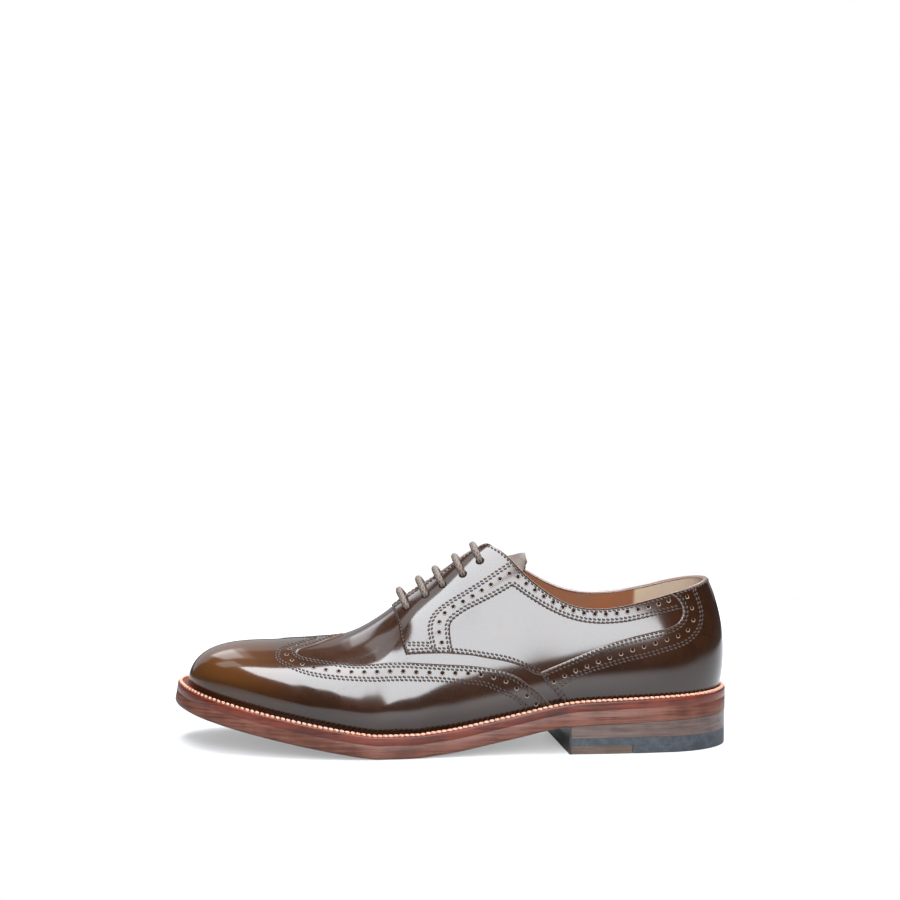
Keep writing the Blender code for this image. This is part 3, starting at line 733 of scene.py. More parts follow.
def grid_faces(rows, columns, first=0, turned=False, wrap=False):
    """Faces of a grid of points stored row by row."""
    i, j = np.meshgrid(np.arange(rows - 1), np.arange(columns if wrap else columns - 1), indexing="ij")
    k = (j + 1) % columns
    here, beyond = i * columns, (i + 1) * columns
    quads = np.stack([here + j, here + k, beyond + k, beyond + j], axis=-1).reshape(-1, 4) + first
    return quads[:, ::-1] if turned else quads


def new_piece(name, points, faces, finish, slot=None, replaces=(), values=None, sharp=None, merge=0.0):
    """A mesh from points in millimetres that rides with the shoe."""
    mesh = bpy.data.meshes.new(name)
    mesh.from_pydata(to_world(points).reshape(-1, 3).tolist(), [], [tuple(face) for face in faces])
    for label, numbers in (values or {}).items():
        layer = mesh.attributes.new(label, "FLOAT", "POINT")
        layer.data.foreach_set("value", np.ascontiguousarray(numbers, np.float32).ravel())
    if merge:
        form = bmesh.new()
        form.from_mesh(mesh)
        bmesh.ops.remove_doubles(form, verts=form.verts, dist=merge * MM)
        bmesh.ops.dissolve_degenerate(form, edges=form.edges, dist=LEAST_EDGE * MM)
        form.to_mesh(mesh)
        form.free()
    mesh.shade_smooth()
    if sharp is not None:
        mesh.set_sharp_from_angle(angle=math.radians(sharp))
    mesh.materials.append(finish)
    thing = bpy.data.objects.new(name, mesh)
    bpy.context.scene.collection.objects.link(thing)
    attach(thing, "root")
    if replaces:
        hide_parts(*replaces)


def join_sheets(name, sheets, finish, **more):
    """One piece from several panels, each facing outward."""
    points, faces, from_edge, up = [], [], [], []
    first = 0
    for sheet in sheets:
        rows, columns = sheet.points.shape[:2]
        quads = grid_faces(rows, columns)
        flat = to_world(sheet.points).reshape(-1, 3)
        a, b, c = flat[quads[:, 0]], flat[quads[:, 1]], flat[quads[:, 2]]
        out = sheet.normals.reshape(-1, 3)[quads[:, 0]] * (-1, 1, 1)
        turned = np.sum(np.cross(b - a, c - a) * out) < 0
        faces.append(grid_faces(rows, columns, first, turned))
        points.append(sheet.points.reshape(-1, 3))
        from_edge.append(sheet.from_edge.ravel())
        up.append(sheet.up.ravel())
        first += rows * columns
    values = {"from_edge": np.concatenate(from_edge), "up": np.concatenate(up)}
    new_piece(name, np.vstack(points), np.vstack(faces), finish, values=values, merge=SHEET_MERGE, **more)


# Finishes

# Where the toe darkens, the pale heel lining starts and the front face of the heel lies, in metres
TOE_BURNISH = (-0.075, -0.13)
HEEL_LINING = (0.1035, 0.106)
BREAST_PLANE = (0.0602, 0.0592)
FLOOR_MIDDLE = (0.08, 0.15, 0.0)
FLOOR_FADE_START = 0.32
FLOOR_FADE_END = 0.6
FLOOR_NEAR_FADE = (-0.24, -0.13)
FLOOR_COVER = 0.66


class Value:
    """A value in a finish; arithmetic on it adds Math nodes."""

    def __init__(self, finish, socket):
        self.finish = finish
        self.socket = socket

    def math(self, operation, *others, swap=False):
        ends = [*others, self] if swap else [self, *others]
        return self.finish.node("Math", {"operation": operation}, dict(enumerate(ends)))

    def __add__(self, other):
        return self.math("ADD", other)

    def __rsub__(self, other):
        return self.math("SUBTRACT", other, swap=True)

    def __mul__(self, other):
        return self.math("MULTIPLY", other)

    __radd__ = __add__
    __rmul__ = __mul__

    def between(self, low, high):
        """This value from low to high, as zero to one, held outside."""
        return self.finish.node("MapRange", {"interpolation_type": "SMOOTHSTEP"}, {0: self, 1: low, 2: high})


class Finish:
    """A material on the shoe, built on one Principled shader."""

    def __init__(self, name, **constant):
        self.material = bpy.data.materials.new(name)
        self.material.use_nodes = True
        self.tree = self.material.node_tree
        self.shader = self.tree.nodes["Principled BSDF"]
        for label, value in constant.items():
            self.shader.inputs[label.replace("_", " ")].default_value = value
        self.place = self.node("TexCoord", output="Object")

    def node(self, kind, settings=None, sockets=None, output=0):
        made = self.tree.nodes.new("ShaderNode" + kind)
        for label, value in (settings or {}).items():
            setattr(made, label, value)
        for label, value in (sockets or {}).items():
            if isinstance(value, Value):
                self.tree.links.new(value.socket, made.inputs[label])
            else:
                made.inputs[label].default_value = value
        return Value(self, made.outputs[output])

    def noise(self, scale, detail=2.0, roughness=0.5, place=None):
        sockets = {"Vector": place or self.place, "Scale": scale, "Detail": detail, "Roughness": roughness}
        return self.node("TexNoise", None, sockets)

    def stretched(self, along, across, upward):
        return self.node("VectorMath", {"operation": "MULTIPLY"}, {0: self.place, 1: (along, across, upward)})

    def axis(self, label):
        return self.node("SeparateXYZ", None, {0: self.place}, output=label)

    def attribute(self, label):
        return self.node("Attribute", {"attribute_name": label}, output="Fac")

    def mix(self, factor, first, second):
        ends = {0: factor, 6: first, 7: second}
        return self.node("Mix", {"data_type": "RGBA"}, ends, output=2)

    def bump(self, height, distance, strength=1.0, below=None):
        sockets = {"Height": height, "Distance": distance, "Strength": strength}
        if below is not None:
            sockets["Normal"] = below
        return self.node("Bump", None, sockets)

    def feed(self, **links):
        for label, value in links.items():
            self.tree.links.new(value.socket, self.shader.inputs[label.replace("_", " ")])
        return self


def shade(red, green, blue):
    """A colour given as on a screen, turned into the light it stands for."""
    shares = (red / 255, green / 255, blue / 255)
    return (*[c / 12.92 if c <= 0.04045 else ((c + 0.055) / 1.055) ** 2.4 for c in shares], 1.0)


def polished_leather(name, deep, warm, toe):
    """Waxed calf, darker along its foot, warmer at the toe and pale where it is cut."""
    made = Finish(name, Coat_Roughness=0.12, Coat_IOR=1.55, Specular_IOR_Level=0.05)
    drift = made.noise(16, 3)
    mottle = made.noise(150, 4, 0.6)
    tone = made.mix((drift * 0.75 + mottle * 0.35).between(0.3, 0.85), deep, warm)
    at_toe = made.axis("X").between(*TOE_BURNISH)
    tone = made.mix(at_toe * 0.7, tone, toe)
    foot = made.attribute("up").between(0.32, 0.04)
    tone = made.mix(foot * 0.75, tone, shade(26, 13, 7))
    cut = made.attribute("from_edge").between(0.4, 0.1)
    tone = made.mix(cut * 0.55, tone, shade(140, 114, 105))
    pores = made.noise(1900, 2, 0.6)
    waves = made.noise(70, 2)
    grain = made.bump(pores, 0.00006, 0.5, made.bump(waves, 0.0008, 0.15))
    return made.feed(Base_Color=tone, Roughness=0.25 + mottle * 0.2, Coat_Weight=1 - cut * 0.6,
                     Normal=grain).material


def plain_leather(name, first, second):
    made = Finish(name)
    patch = made.noise(40, 5, 0.6)
    fibre = made.noise(900, 3, 0.6)
    tone = made.mix((patch * 0.8 + fibre * 0.3).between(0.35, 0.75), first, second)
    grain = made.bump(fibre, 0.0002, 0.4)
    return made.feed(Base_Color=tone, Roughness=0.4 + patch * 0.2, Normal=grain).material


def lining_leather():
    made = Finish("lining_leather")
    patch = made.noise(30, 4, 0.6)
    grain = made.noise(1300, 3, 0.6)
    heel = made.axis("X").between(*HEEL_LINING)
    tone = made.mix(heel, shade(144, 88, 52), shade(196, 176, 152))
    tone = made.mix(patch.between(0.35, 0.75) * 0.3, tone, tone * 0.75)
    return made.feed(Base_Color=tone, Roughness=0.5 + patch * 0.2,
                     Normal=made.bump(grain, 0.0002, 0.4)).material


def breast_shade_mask(made):
    """One on the front face of the heel, which is darkened with painted shade."""
    return (made.axis("X") + made.axis("Y") * BREAST_SLANT).between(*BREAST_PLANE)


def sole_edge_leather(name, first, second, streak, breast_shade=False, shine=0.25):
    """Waxed edge of pressed leather, with fine streaks along the layers."""
    made = Finish(name, Coat_Weight=shine, Coat_Roughness=0.25, Specular_IOR_Level=shine)
    layers = made.noise(60, 4, 0.7, place=made.stretched(0.5, 0.5, 12))
    patch = made.noise(70, 3)
    tone = made.mix((layers * 0.7 + patch * 0.4).between(0.4, 0.68), first, second)
    tone = made.mix(layers.between(0.62, 0.75) * 0.35, tone, streak)
    # The front face of the heel gets painted shade, as if in shadow under the arch
    if breast_shade:
        tone = made.mix(breast_shade_mask(made) * 0.9, tone, shade(30, 24, 22))
    scuff = made.noise(500, 3, 0.7)
    return made.feed(Base_Color=tone, Roughness=0.3 + scuff * 0.25,
                     Normal=made.bump(layers, 0.0002, 0.25)).material


def thread(name, first, second):
    made = Finish(name)
    ply = made.noise(1400, 2)
    tone = made.mix(ply.between(0.3, 0.7), first, second)
    return made.feed(Base_Color=tone, Roughness=0.6 + ply * 0.1).material


def punched_edge():
    """Raw leather on the wall of a punched hole, with painted shade at its bottom."""
    made = Finish("punched_edge", Roughness=0.8, Specular_IOR_Level=0.1)
    depth = made.attribute("depth")
    fibre = made.noise(1600, 2)
    wall = made.mix(fibre, shade(168, 142, 126), shade(226, 202, 186))
    tone = made.mix(depth.between(0.2, 0.5), shade(52, 30, 18), wall)
    # Painted shade at the bottom of the hole
    tone = made.mix(depth.between(0.6, 0.95), tone, shade(30, 18, 12))
    return made.feed(Base_Color=tone, Normal=made.bump(fibre, 0.0001, 0.3)).material


def rubber():
    made = Finish("heel_rubber")
    dust = made.noise(220, 4, 0.7)
    tone = made.mix(dust.between(0.35, 0.75), shade(42, 45, 50), shade(66, 70, 78))
    # Painted shade on the front face of the heel
    tone = made.mix(breast_shade_mask(made) * 0.8, tone, shade(26, 26, 28))
    return made.feed(Base_Color=tone, Roughness=0.45 + dust * 0.25,
                     Normal=made.bump(dust, 0.0002, 0.3)).material


def braided_cord():
    made = Finish("waxed_lace")
    strand = made.attribute("strand")
    fluff = made.noise(1500, 3, 0.7)
    # Painted shade: the cord is darker in the grooves between the raised strands
    tone = made.mix((strand * 0.8 + fluff * 0.3).between(0.2, 0.9), shade(50, 40, 35), shade(102, 87, 78))
    return made.feed(Base_Color=tone, Roughness=0.55 + fluff * 0.2,
                     Normal=made.bump(fluff, 0.0002, 0.5)).material


def floor_finish():
    """Pale floor that thins out into the pale background."""
    made = Finish("pale_floor", Roughness=0.4)
    drift = made.noise(1.5, 2)
    ends = {0: made.place, 1: FLOOR_MIDDLE}
    far = made.node("VectorMath", {"operation": "DISTANCE"}, ends, output="Value")
    tone = made.mix(drift, (0.86, 0.87, 0.88, 1), (0.9, 0.9, 0.9, 1))
    near = made.axis("Y").between(*FLOOR_NEAR_FADE)
    cover = near * far.between(FLOOR_FADE_END, FLOOR_FADE_START) * FLOOR_COVER
    return made.feed(Base_Color=tone, Alpha=cover).material


UPPER_LEATHER = polished_leather("polished_leather", shade(37, 18, 8), shade(61, 33, 15), shade(90, 53, 22))
TONGUE_LEATHER = plain_leather("tongue_leather", shade(64, 47, 38), shade(88, 69, 58))
LINING_LEATHER = lining_leather()
WELT_LEATHER = sole_edge_leather("welt_leather", shade(62, 22, 13), shade(108, 46, 31), shade(138, 72, 49))
SOLE_LEATHER = sole_edge_leather("sole_leather", shade(77, 45, 36), shade(112, 72, 61), shade(130, 91, 78),
                                 shine=0.11)
HEEL_LEATHER = sole_edge_leather("heel_leather", shade(66, 49, 44), shade(96, 78, 72), shade(112, 94, 86),
                                 breast_shade=True)
STRIP_LEATHER = sole_edge_leather("strip_leather", shade(74, 57, 47), shade(94, 75, 64), shade(106, 86, 74),
                                  breast_shade=True)
HEEL_RUBBER = rubber()
SEAM_THREAD = thread("seam_thread", shade(44, 32, 27), shade(80, 62, 54))
# Painted shade for the dents that the stitches sink into
STITCH_DENT_SHADE = thread("stitch_dent_shade", shade(22, 15, 12), shade(38, 26, 20))
PUNCHED_EDGE = punched_edge()
WELT_THREAD = thread("welt_thread", shade(190, 126, 98), shade(236, 180, 154))
LACE_CORD = braided_cord()


# Upper

# A column that nearly reaches the back seam is drawn to it
BACK_CATCH = 2.0
# How much further forward the wing's edge is cut along the ridge, and where the wing ends at the toe
WING_RIDGE_LEAN = 1.4
WING_TIP_GAP = 0.04


def pin_ridge(grid):
    grid[0, :, 1] = 1.0


def pin_back(grid):
    grid[:, -1, 0] = np.where(grid[:, -1, 0] < BACK_CATCH, 0.0, grid[:, -1, 0])


def wing_panel(side, columns=90, spacing=1.6):
    """The wing cap: from its edge forward to the tip of the toe."""
    points = np.array(WING_EDGE, float)
    edge_line = trace(points, row_steps(chords(points), spacing))
    lines, levels, inside = [], [], []
    for far, level in free_edge(WING_HEIGHT):
        moved = shift(edge_line, side, far)
        if moved[len(moved) // 2, 0] < edge_line[len(moved) // 2, 0]:
            moved = shift(edge_line, side, -far)
        moved[0] = edge_line[0] + (WING_RIDGE_LEAN * far, 0)
        lines.append(moved)
        levels.append(level)
        inside.append(far)
    way, up = lines[-1].T
    for part in np.linspace(0, 1, columns + 1)[1:]:
        near = math.sin(part * math.pi / 2)
        lines.append(np.column_stack([way + (TOE_TIP[0] - WING_TIP_GAP - way) * near, up]))
        levels.append(WING_HEIGHT)
        inside.append(FAR_FROM_EDGE)
    grid = np.stack(lines, axis=1)
    pin_ridge(grid)
    return sheet_on(grid, side, np.tile(levels, (len(grid), 1)), np.tile(inside, (len(grid), 1)))


def lay(name, rows, height, edge, other, columns, replaces=(), **more):
    """A panel on each side of the shoe, as one piece."""
    sheets = [panel(rows, side, height, edge, other, columns, **more) for side in SIDES]
    join_sheets(name, sheets, UPPER_LEATHER, slot="brown_leather", replaces=replaces)


def make_upper():
    lay("vamp", VAMP_ROWS, VAMP_HEIGHT, hidden_edge, hidden_edge, 40, replaces=("upper",), pin=pin_ridge)
    join_sheets("wing_cap", [wing_panel(side) for side in SIDES], UPPER_LEATHER, slot="brown_leather")
    lay("quarters", QUARTER_ROWS, QUARTER_HEIGHT, free_edge, hidden_edge, 40,
        other_corners=(QUARTER_TOP_CORNER,))
    lay("facings_and_collar", FACING_ROWS, FACING_HEIGHT, rolled_edge, free_edge, 24,
        edge_corners=(FACING_FRONT_CORNER,), other_corners=(FACING_TOP_CORNER,), start=free_edge, spacing=1.3)
    lay("heel_foxing", FOXING_ROWS, FOXING_HEIGHT, free_edge, hidden_edge, 36,
        other_corners=(FOXING_BACK_CORNER,), start=free_edge, end=rolled_edge, end_at_top=True, pin=pin_back)


# Where the lining starts above the feather edge and ends under the throat and below the top edge,
# and how far it turns in and drops below the edge of the sock
LINING_FOOT = 0.03
LINING_FRONT = 186.0
LINING_BELOW_TOP = 0.006
LINING_TURN = 5.0
LINING_DROP = 2.0


def make_lining(round_heel=40, along=110, rows=40):
    sheets = []
    way = np.concatenate([np.linspace(0, HEEL_AXIS, round_heel, endpoint=False),
                          np.linspace(HEEL_AXIS, LINING_FRONT, along)])
    for side in SIDES:
        top = top_up(way, side) - LINING_BELOW_TOP
        part = np.concatenate([[0.0], np.linspace(0, 1, rows)])
        up = LINING_FOOT + (top[:, None] - LINING_FOOT) * part
        ways = np.tile(way[:, None], (1, rows + 1))
        normals = skin_normal(ways, up, side)
        points = skin(ways, up, side) - normals * LINING_DEPTH
        points[:, 0] -= unit(normals[:, 0] * (1, 1, 0)) * LINING_TURN + (0, 0, LINING_DROP)
        sheets.append(Sheet(points, -normals, np.full(up.shape, FAR_FROM_EDGE), up))
    join_sheets("lining", sheets, LINING_LEATHER, slot="insole_leather")


# Stitches, perforations and eyelets

GRAIN_RINGS = ((-1.0, 0.35), (-0.6, 0.95), (0.6, 0.95), (1.0, 0.35))


def grains(places, ahead, outward, half_length, radius, sides, flat=1.0):
    """Rounded stitches, all in one mesh."""
    beside = np.cross(outward, ahead)
    turn = np.arange(sides) * 2 * math.pi / sides
    shape = np.array([(x, r * math.cos(t), r * math.sin(t)) for x, r in GRAIN_RINGS for t in turn])
    points = (places[:, None] + shape[None, :, :1] * ahead[:, None] * half_length
              + shape[None, :, 1:2] * beside[:, None] * radius
              + shape[None, :, 2:] * outward[:, None] * radius * flat)
    count = len(shape)
    faces = [tuple(face) for face in grid_faces(len(GRAIN_RINGS), sides, wrap=True)]
    faces += [tuple(range(sides)), tuple(range(count - 1, count - 1 - sides, -1))]
    every = [tuple(k + first * count for k in face) for first in range(len(places)) for face in faces]
    return points.reshape(-1, 3), every


def slanted(ahead, outward, degrees):
    angle = math.radians(degrees)
    return ahead * math.cos(angle) + np.cross(outward, ahead) * math.sin(angle)


StitchRow = namedtuple("StitchRow", "places height offsets")
EDGE_ROW = 1.0
ABOVE_EDGE = (EDGE_ROW, EDGE_ROW + DOUBLE_ROW_GAP)
BELOW_EDGE = (-EDGE_ROW, -EDGE_ROW - DOUBLE_ROW_GAP)
BOTH_SIDES = (-DOUBLE_ROW_GAP / 2, DOUBLE_ROW_GAP / 2)
BEHIND_FRONT = (1.3,)
UNDER_TOP = (1.6,)
THROAT_WAYS = (183.5, 178, 170, 160, 150, 143, 138, 134, 130, 126, 122, 118, 113, 108, 101, 94, 87, 80,
               73, 65, 58, 50, 43, 36, 31)
BACK_WAYS = (31, 24, 16, 8, 0)
STITCH_ROWS = [StitchRow(*row) for row in (
    (WING_EDGE, WING_HEIGHT, ABOVE_EDGE),
    (WING_TOE_ROW, WING_HEIGHT, BOTH_SIDES),
    (QUARTER_EDGE, QUARTER_HEIGHT, BELOW_EDGE),
    (FACING_FRONT, FACING_HEIGHT, BEHIND_FRONT),
    (FACING_OUTER_ROW, FACING_HEIGHT, BOTH_SIDES),
    (FACING_INNER_ROW, FACING_HEIGHT, BOTH_SIDES),
    (FACING_BAR, FACING_HEIGHT, BOTH_SIDES),
    (FACING_FOOT, FACING_HEIGHT, BELOW_EDGE),
    (COLLAR_ROW, FACING_HEIGHT, BOTH_SIDES),
    ([(way, TOP) for way in THROAT_WAYS], FACING_HEIGHT, UNDER_TOP),
    ([(way, TOP) for way in BACK_WAYS], FOXING_HEIGHT, UNDER_TOP),
    (FOXING_EDGE, FOXING_HEIGHT, ABOVE_EDGE),
    (FOXING_FRONT, FOXING_HEIGHT, BELOW_EDGE),
    (FOXING_ROW, FOXING_HEIGHT, BOTH_SIDES))]
SHORTEST_ROW = 4


def joined(parts):
    """Points and faces of several small meshes as one."""
    points, faces, first = [], [], 0
    for some_points, some_faces in parts:
        points.append(some_points)
        faces += [tuple(k + first for k in face) for face in some_faces]
        first += len(some_points)
    return np.vstack(points), faces


def along_row(line, side, height):
    """Middles of the stitches in one row, with their directions ahead and outward."""
    path = raised(*line.T, side, height)
    along = run_along(path)
    count = max(int(along[-1] / STITCH_PITCH), 1)
    at = (np.arange(count) + 0.5) * (along[-1] / count)
    spot = at_places(at, along, line)
    ahead = unit(at_places(at, along, np.gradient(path, axis=0)))
    return raised(*spot.T, side, height), ahead, skin_normal(*spot.T, side)


def make_seams():
    """Rows of stitches, each on a flat dark patch that paints the shade of its dent in the leather."""
    stitches, dents = [], []
    for side in SIDES:
        for row in STITCH_ROWS:
            line = seam(row.places, side, SEAM_SPACING)
            for offset in row.offsets:
                moved = shift(line, side, offset)
                below_top = np.minimum(top_up(moved[:, 0], side) - BELOW_TOP, 1.0)
                moved = moved[(moved[:, 1] > ABOVE_FEATHER) & (moved[:, 1] < below_top)]
                if len(moved) < SHORTEST_ROW:
                    continue
                places, ahead, outward = along_row(moved, side, row.height)
                ahead = slanted(ahead, outward, HAND[side] * STITCH_SLANT)
                stitches.append(grains(places + outward * STITCH_LIFT, ahead, outward, STITCH_LENGTH / 2,
                                       STITCH_RADIUS, STITCH_SIDES, STITCH_FLAT))
                dents.append(grains(places + outward * DENT_LIFT, ahead, outward,
                                    STITCH_LENGTH / 2 + DENT_MARGIN, STITCH_RADIUS + DENT_MARGIN,
                                    STITCH_SIDES, DENT_FLAT))
    new_piece("seam_stitches", *joined(stitches), SEAM_THREAD)
    new_piece("painted_stitch_shade", *joined(dents), STITCH_DENT_SHADE)


Rim = namedtuple("Rim", "radius height rise depth")
# Rings of a hole: radius, height off the leather, rise towards the top and depth, from the leather round it
# (0) over the pale wall (0.5) to the painted shade at its bottom (1)
HOLE_RIMS = [Rim(*row) for row in (
    (1.45, -0.06, 0, 0), (1.24, 0.07, 0, 0), (1.17, 0.07, 0, 0.15), (1.1, 0.05, 0.04, 0.5),
    (0.94, 0.03, 0.19, 1))]
# The eyelets are painted shade all over: dark discs round the lace where it goes in
EYELET_RIMS = [Rim(*row) for row in (
    (2.5, -0.06, 0, 1), (2.2, 0.1, 0, 1), (2.0, 0.08, 0, 1), (1.7, 0.03, 0, 1))]
HOLE_SIDES = 14
EYELET_SIDES = 24


def punched(places, outward, rims, sides):
    """Round holes, all in one mesh; their bottoms, dark with painted shade, lie a little towards the top, so
    the pale lower wall shows as if lit from above.
    """
    ahead = unit(np.array([0.0, 0.0, 1.0]) - outward * outward[:, 2:])
    beside = np.cross(outward, ahead)
    turn = np.arange(sides) * 2 * math.pi / sides
    points = []
    for rim in rims:
        rise = ahead[:, None] * (np.cos(turn) * rim.radius + rim.rise)[None, :, None]
        points.append(places[:, None] + rise + beside[:, None] * (np.sin(turn) * rim.radius)[None, :, None]
                      + outward[:, None] * rim.height)
    count = len(rims) * sides
    faces = [tuple(face) for face in grid_faces(len(rims), sides, wrap=True)]
    faces.append(tuple(range(count - sides, count)))
    every = [tuple(k + first * count for k in face) for first in range(len(places)) for face in faces]
    depth = np.tile(np.repeat([rim.depth for rim in rims], sides), len(places))
    return np.stack(points, axis=1).reshape(-1, 3), every, depth


HoleRow = namedtuple("HoleRow", "places height pitch corners")
HOLE_ROWS = [HoleRow(*row) for row in (
    (WING_HOLES, WING_HEIGHT, 7.0, ()), (STRIP_HOLES, FACING_HEIGHT, 6.0, (STRIP_HOLES_CORNER,)),
    (FOXING_HOLES, FOXING_HEIGHT, 6.4, ()))]


def make_holes():
    """Rows of round perforations through the top layer, as shallow rings with painted shade at their bottoms.
    """
    places, outward = [], []
    for side in SIDES:
        for row in HOLE_ROWS:
            line = seam(row.places, side, row.pitch, row.corners)
            if row.places is WING_HOLES and side == "medial":
                line = line[1:]
            outward.append(skin_normal(*line.T, side))
            places.append(raised(*line.T, side, row.height))
    points, faces, depth = punched(np.vstack(places), np.vstack(outward), HOLE_RIMS, HOLE_SIDES)
    new_piece("perforations", points, faces, PUNCHED_EDGE, values={"depth": depth})


def over_throat(from_heel, place):
    """Way, up and side at a signed distance from the ridge plane."""
    side = "lateral" if place < 0 else "medial"
    section = front_section(np.array([from_heel]), side)
    angle = angle_at_spread(section, abs(place))
    return from_heel, float(LOW_SHARE + (1 - LOW_SHARE) * angle[0] / (math.pi / 2)), side


LaceBar = namedtuple("LaceBar", "station eyelet crown")
LACE_BARS = [LaceBar(*row) for row in (
    (177.8, 16.8, 4.9), (167.8, 15.9, 4.0), (158.9, 15.6, 3.3), (148.9, 16.2, 1.9), (139.4, 14.2, 1.2))]
LACE_ON_FACING = 2.85
LACE_SIDES = 24
LACE_STEP = 0.3
BRAID_STRANDS = 5
BRAID_LENGTH = 3.4
BRAID_DEPTH = 0.07


def leaning(bar, place):
    """A place at a signed distance from the ridge plane; the bars lean back as they go down."""
    way, up, side = over_throat(bar.station, place)
    lean = bar.station + LACE_LEAN * (float(last_skin(way, up, side)[2]) - float(LAST["ridge"](bar.station)))
    return over_throat(lean, place)


def lace_path(bar):
    """The middle of one bar of the lace, from inside one eyelet over the throat and into the other."""
    half = ((0, bar.crown), (3, bar.crown), (6, (bar.crown + LACE_ON_FACING) / 2),
            (bar.eyelet - 6, LACE_ON_FACING), (bar.eyelet - 3.5, LACE_ON_FACING - 0.1),
            (bar.eyelet - 1.6, 1.9), (bar.eyelet - 0.4, 0.6), (bar.eyelet, -0.8), (bar.eyelet, -2.6))
    rows = [(-place, height) for place, height in half[:0:-1]] + list(half)
    path = []
    for place, height in rows:
        way, up, side = leaning(bar, place)
        path.append(raised(np.array([way]), np.array([up]), side, height)[0])
    path = np.array(path)
    along = run_along(path)
    at = np.arange(0, along[-1], LACE_STEP)
    return np.column_stack([spline(along, path[:, k])(at) for k in range(3)]), at


def make_laces():
    """The bars of braided cord and the eyelets that they run through, drawn as dark discs of painted shade.
    """
    points, faces, strands = [], [], []
    eyelets, eyelet_out = [], []
    first = 0
    turn = np.arange(LACE_SIDES) * 2 * math.pi / LACE_SIDES
    for bar in LACE_BARS:
        path, at = lace_path(bar)
        ahead = unit(np.gradient(path, axis=0))
        upward = unit(np.cross(ahead, (1.0, 0.0, 0.0)))
        beside = np.cross(upward, ahead)
        twist = 2 * math.pi * at[:, None] / BRAID_LENGTH
        crossing = np.maximum(*[np.cos(BRAID_STRANDS * turn[None, :] + way * twist) for way in (1, -1)])
        radius = LACE_RADIUS * (1 - BRAID_DEPTH + BRAID_DEPTH * crossing)
        tube = (path[:, None] + upward[:, None] * (np.cos(turn)[None, :] * radius)[..., None]
                + beside[:, None] * (np.sin(turn)[None, :] * radius)[..., None])
        points.append(tube.reshape(-1, 3))
        strands.append(((crossing + 1) / 2).ravel())
        faces.append(grid_faces(len(path), LACE_SIDES, first, wrap=True))
        first += tube.shape[0] * tube.shape[1]
        for hand in (-1, 1):
            way, up, side = leaning(bar, hand * bar.eyelet)
            spot = (np.array([way]), np.array([up]))
            eyelets.append(raised(*spot, side, FACING_HEIGHT)[0])
            eyelet_out.append(skin_normal(*spot, side)[0])
    new_piece("lace", np.vstack(points), np.vstack(faces), LACE_CORD, slot="waxed_lace",
              values={"strand": np.concatenate(strands)},
              replaces=["lace_bar_%d" % number for number in range(1, len(LACE_BARS) + 1)])
    made, round_faces, depth = punched(np.array(eyelets), np.array(eyelet_out), EYELET_RIMS, EYELET_SIDES)
    new_piece("eyelet_hole_shade", made, round_faces, PUNCHED_EDGE, values={"depth": depth})


def make_tongue(steps=70, across=36):
    """A leather sheet under the facings that follows the sections of the last below its own crest."""
    stations = np.linspace(TONGUE_ROWS[0].from_heel, TONGUE_ROWS[-1].from_heel, steps + 1)
    sheet = np.empty((steps + 1, across + 1, 3))
    for k in range(across + 1):
        place = 2 * k / across - 1
        side = "lateral" if place < 0 else "medial"
        section = front_section(stations, side)
        section = section._replace(high=TONGUE["crest"](stations), reach=section.reach - WALL - TONGUE_GAP)
        angle = angle_at_spread(section, abs(place) * TONGUE["half_width"](stations))
        sheet[:, k] = side_point(section, angle)
    normals = unit(np.cross(np.gradient(sheet, axis=1), np.gradient(sheet, axis=0)))
    normals *= np.sign(normals[..., 2:])
    under = sheet - normals * TONGUE_THICK
    rows, width = sheet.shape[:2]
    faces = [tuple(face) for face in grid_faces(rows, width)]
    faces += [tuple(k + rows * width for k in face[::-1]) for face in grid_faces(rows, width)]
    shell = rows * width
    border = [*range(width), *range(2 * width - 1, shell, width), *range(shell - 2, shell - width - 1, -1),
              *range(shell - 2 * width, 0, -width)]
    faces += [(a, b, b + shell, a + shell) for a, b in zip(border, border[1:] + border[:1])]
    new_piece("tongue_sheet", np.vstack([sheet.reshape(-1, 3), under.reshape(-1, 3)]), faces, TONGUE_LEATHER,
              slot="tongue_leather", replaces=("tongue",), sharp=50)


# Sole

def ring(outline, height, steps, start=None, lateral_end=None, medial_end=None):
    """A ring along the lateral edge and back along the medial edge, whole or cut off square."""
    lateral, medial = two_sides(outline)
    tip, end = lateral[0, 0], lateral[-1, 0]
    part = np.linspace(0, 1, steps + 1)
    if lateral_end is None:
        part = (1 - np.cos(part * math.pi)) / 2
    elif start is None:
        part = 1 - np.cos(part * math.pi / 2)
    begin = tip if start is None else start
    points = []
    for side, finish in ((lateral, lateral_end), (medial, medial_end)):
        along = begin + part * ((end if finish is None else finish) - begin)
        points.append(np.column_stack([along, across_at(side, along), height(along)]))
    return np.vstack([points[0], points[1][::-1]])


def loft(name, rings, finish, hollow=False, **more):
    """A body through rings with the same number of points; capped, or closed on itself if hollow."""
    count = len(rings[0])
    faces = [tuple(face) for face in grid_faces(len(rings), count, wrap=True)]
    last = (len(rings) - 1) * count
    if hollow:
        faces += [(last + i, last + (i + 1) % count, (i + 1) % count, i) for i in range(count)]
    else:
        for first, turned in ((0, True), (last, False)):
            cap = [(first + i, first + i + 1, first + count - 2 - i, first + count - 1 - i)
                   for i in range(count // 2 - 1)]
            faces += [face[::-1] for face in cap] if turned else cap
    new_piece(name, np.vstack(rings), faces, finish, merge=LOFT_MERGE, **more)


def raised_by(height, amount):
    return lambda from_heel: height(from_heel) + amount


def level(height):
    return lambda from_heel: np.full(np.shape(from_heel), float(height))


# Depth and half height of the fine groove where two layers of the sole meet
JOINT = 0.06
JOINT_REACH = CLEARANCE / 2
BROKEN_EDGE = 0.08
BROKEN_FOOT = 0.07
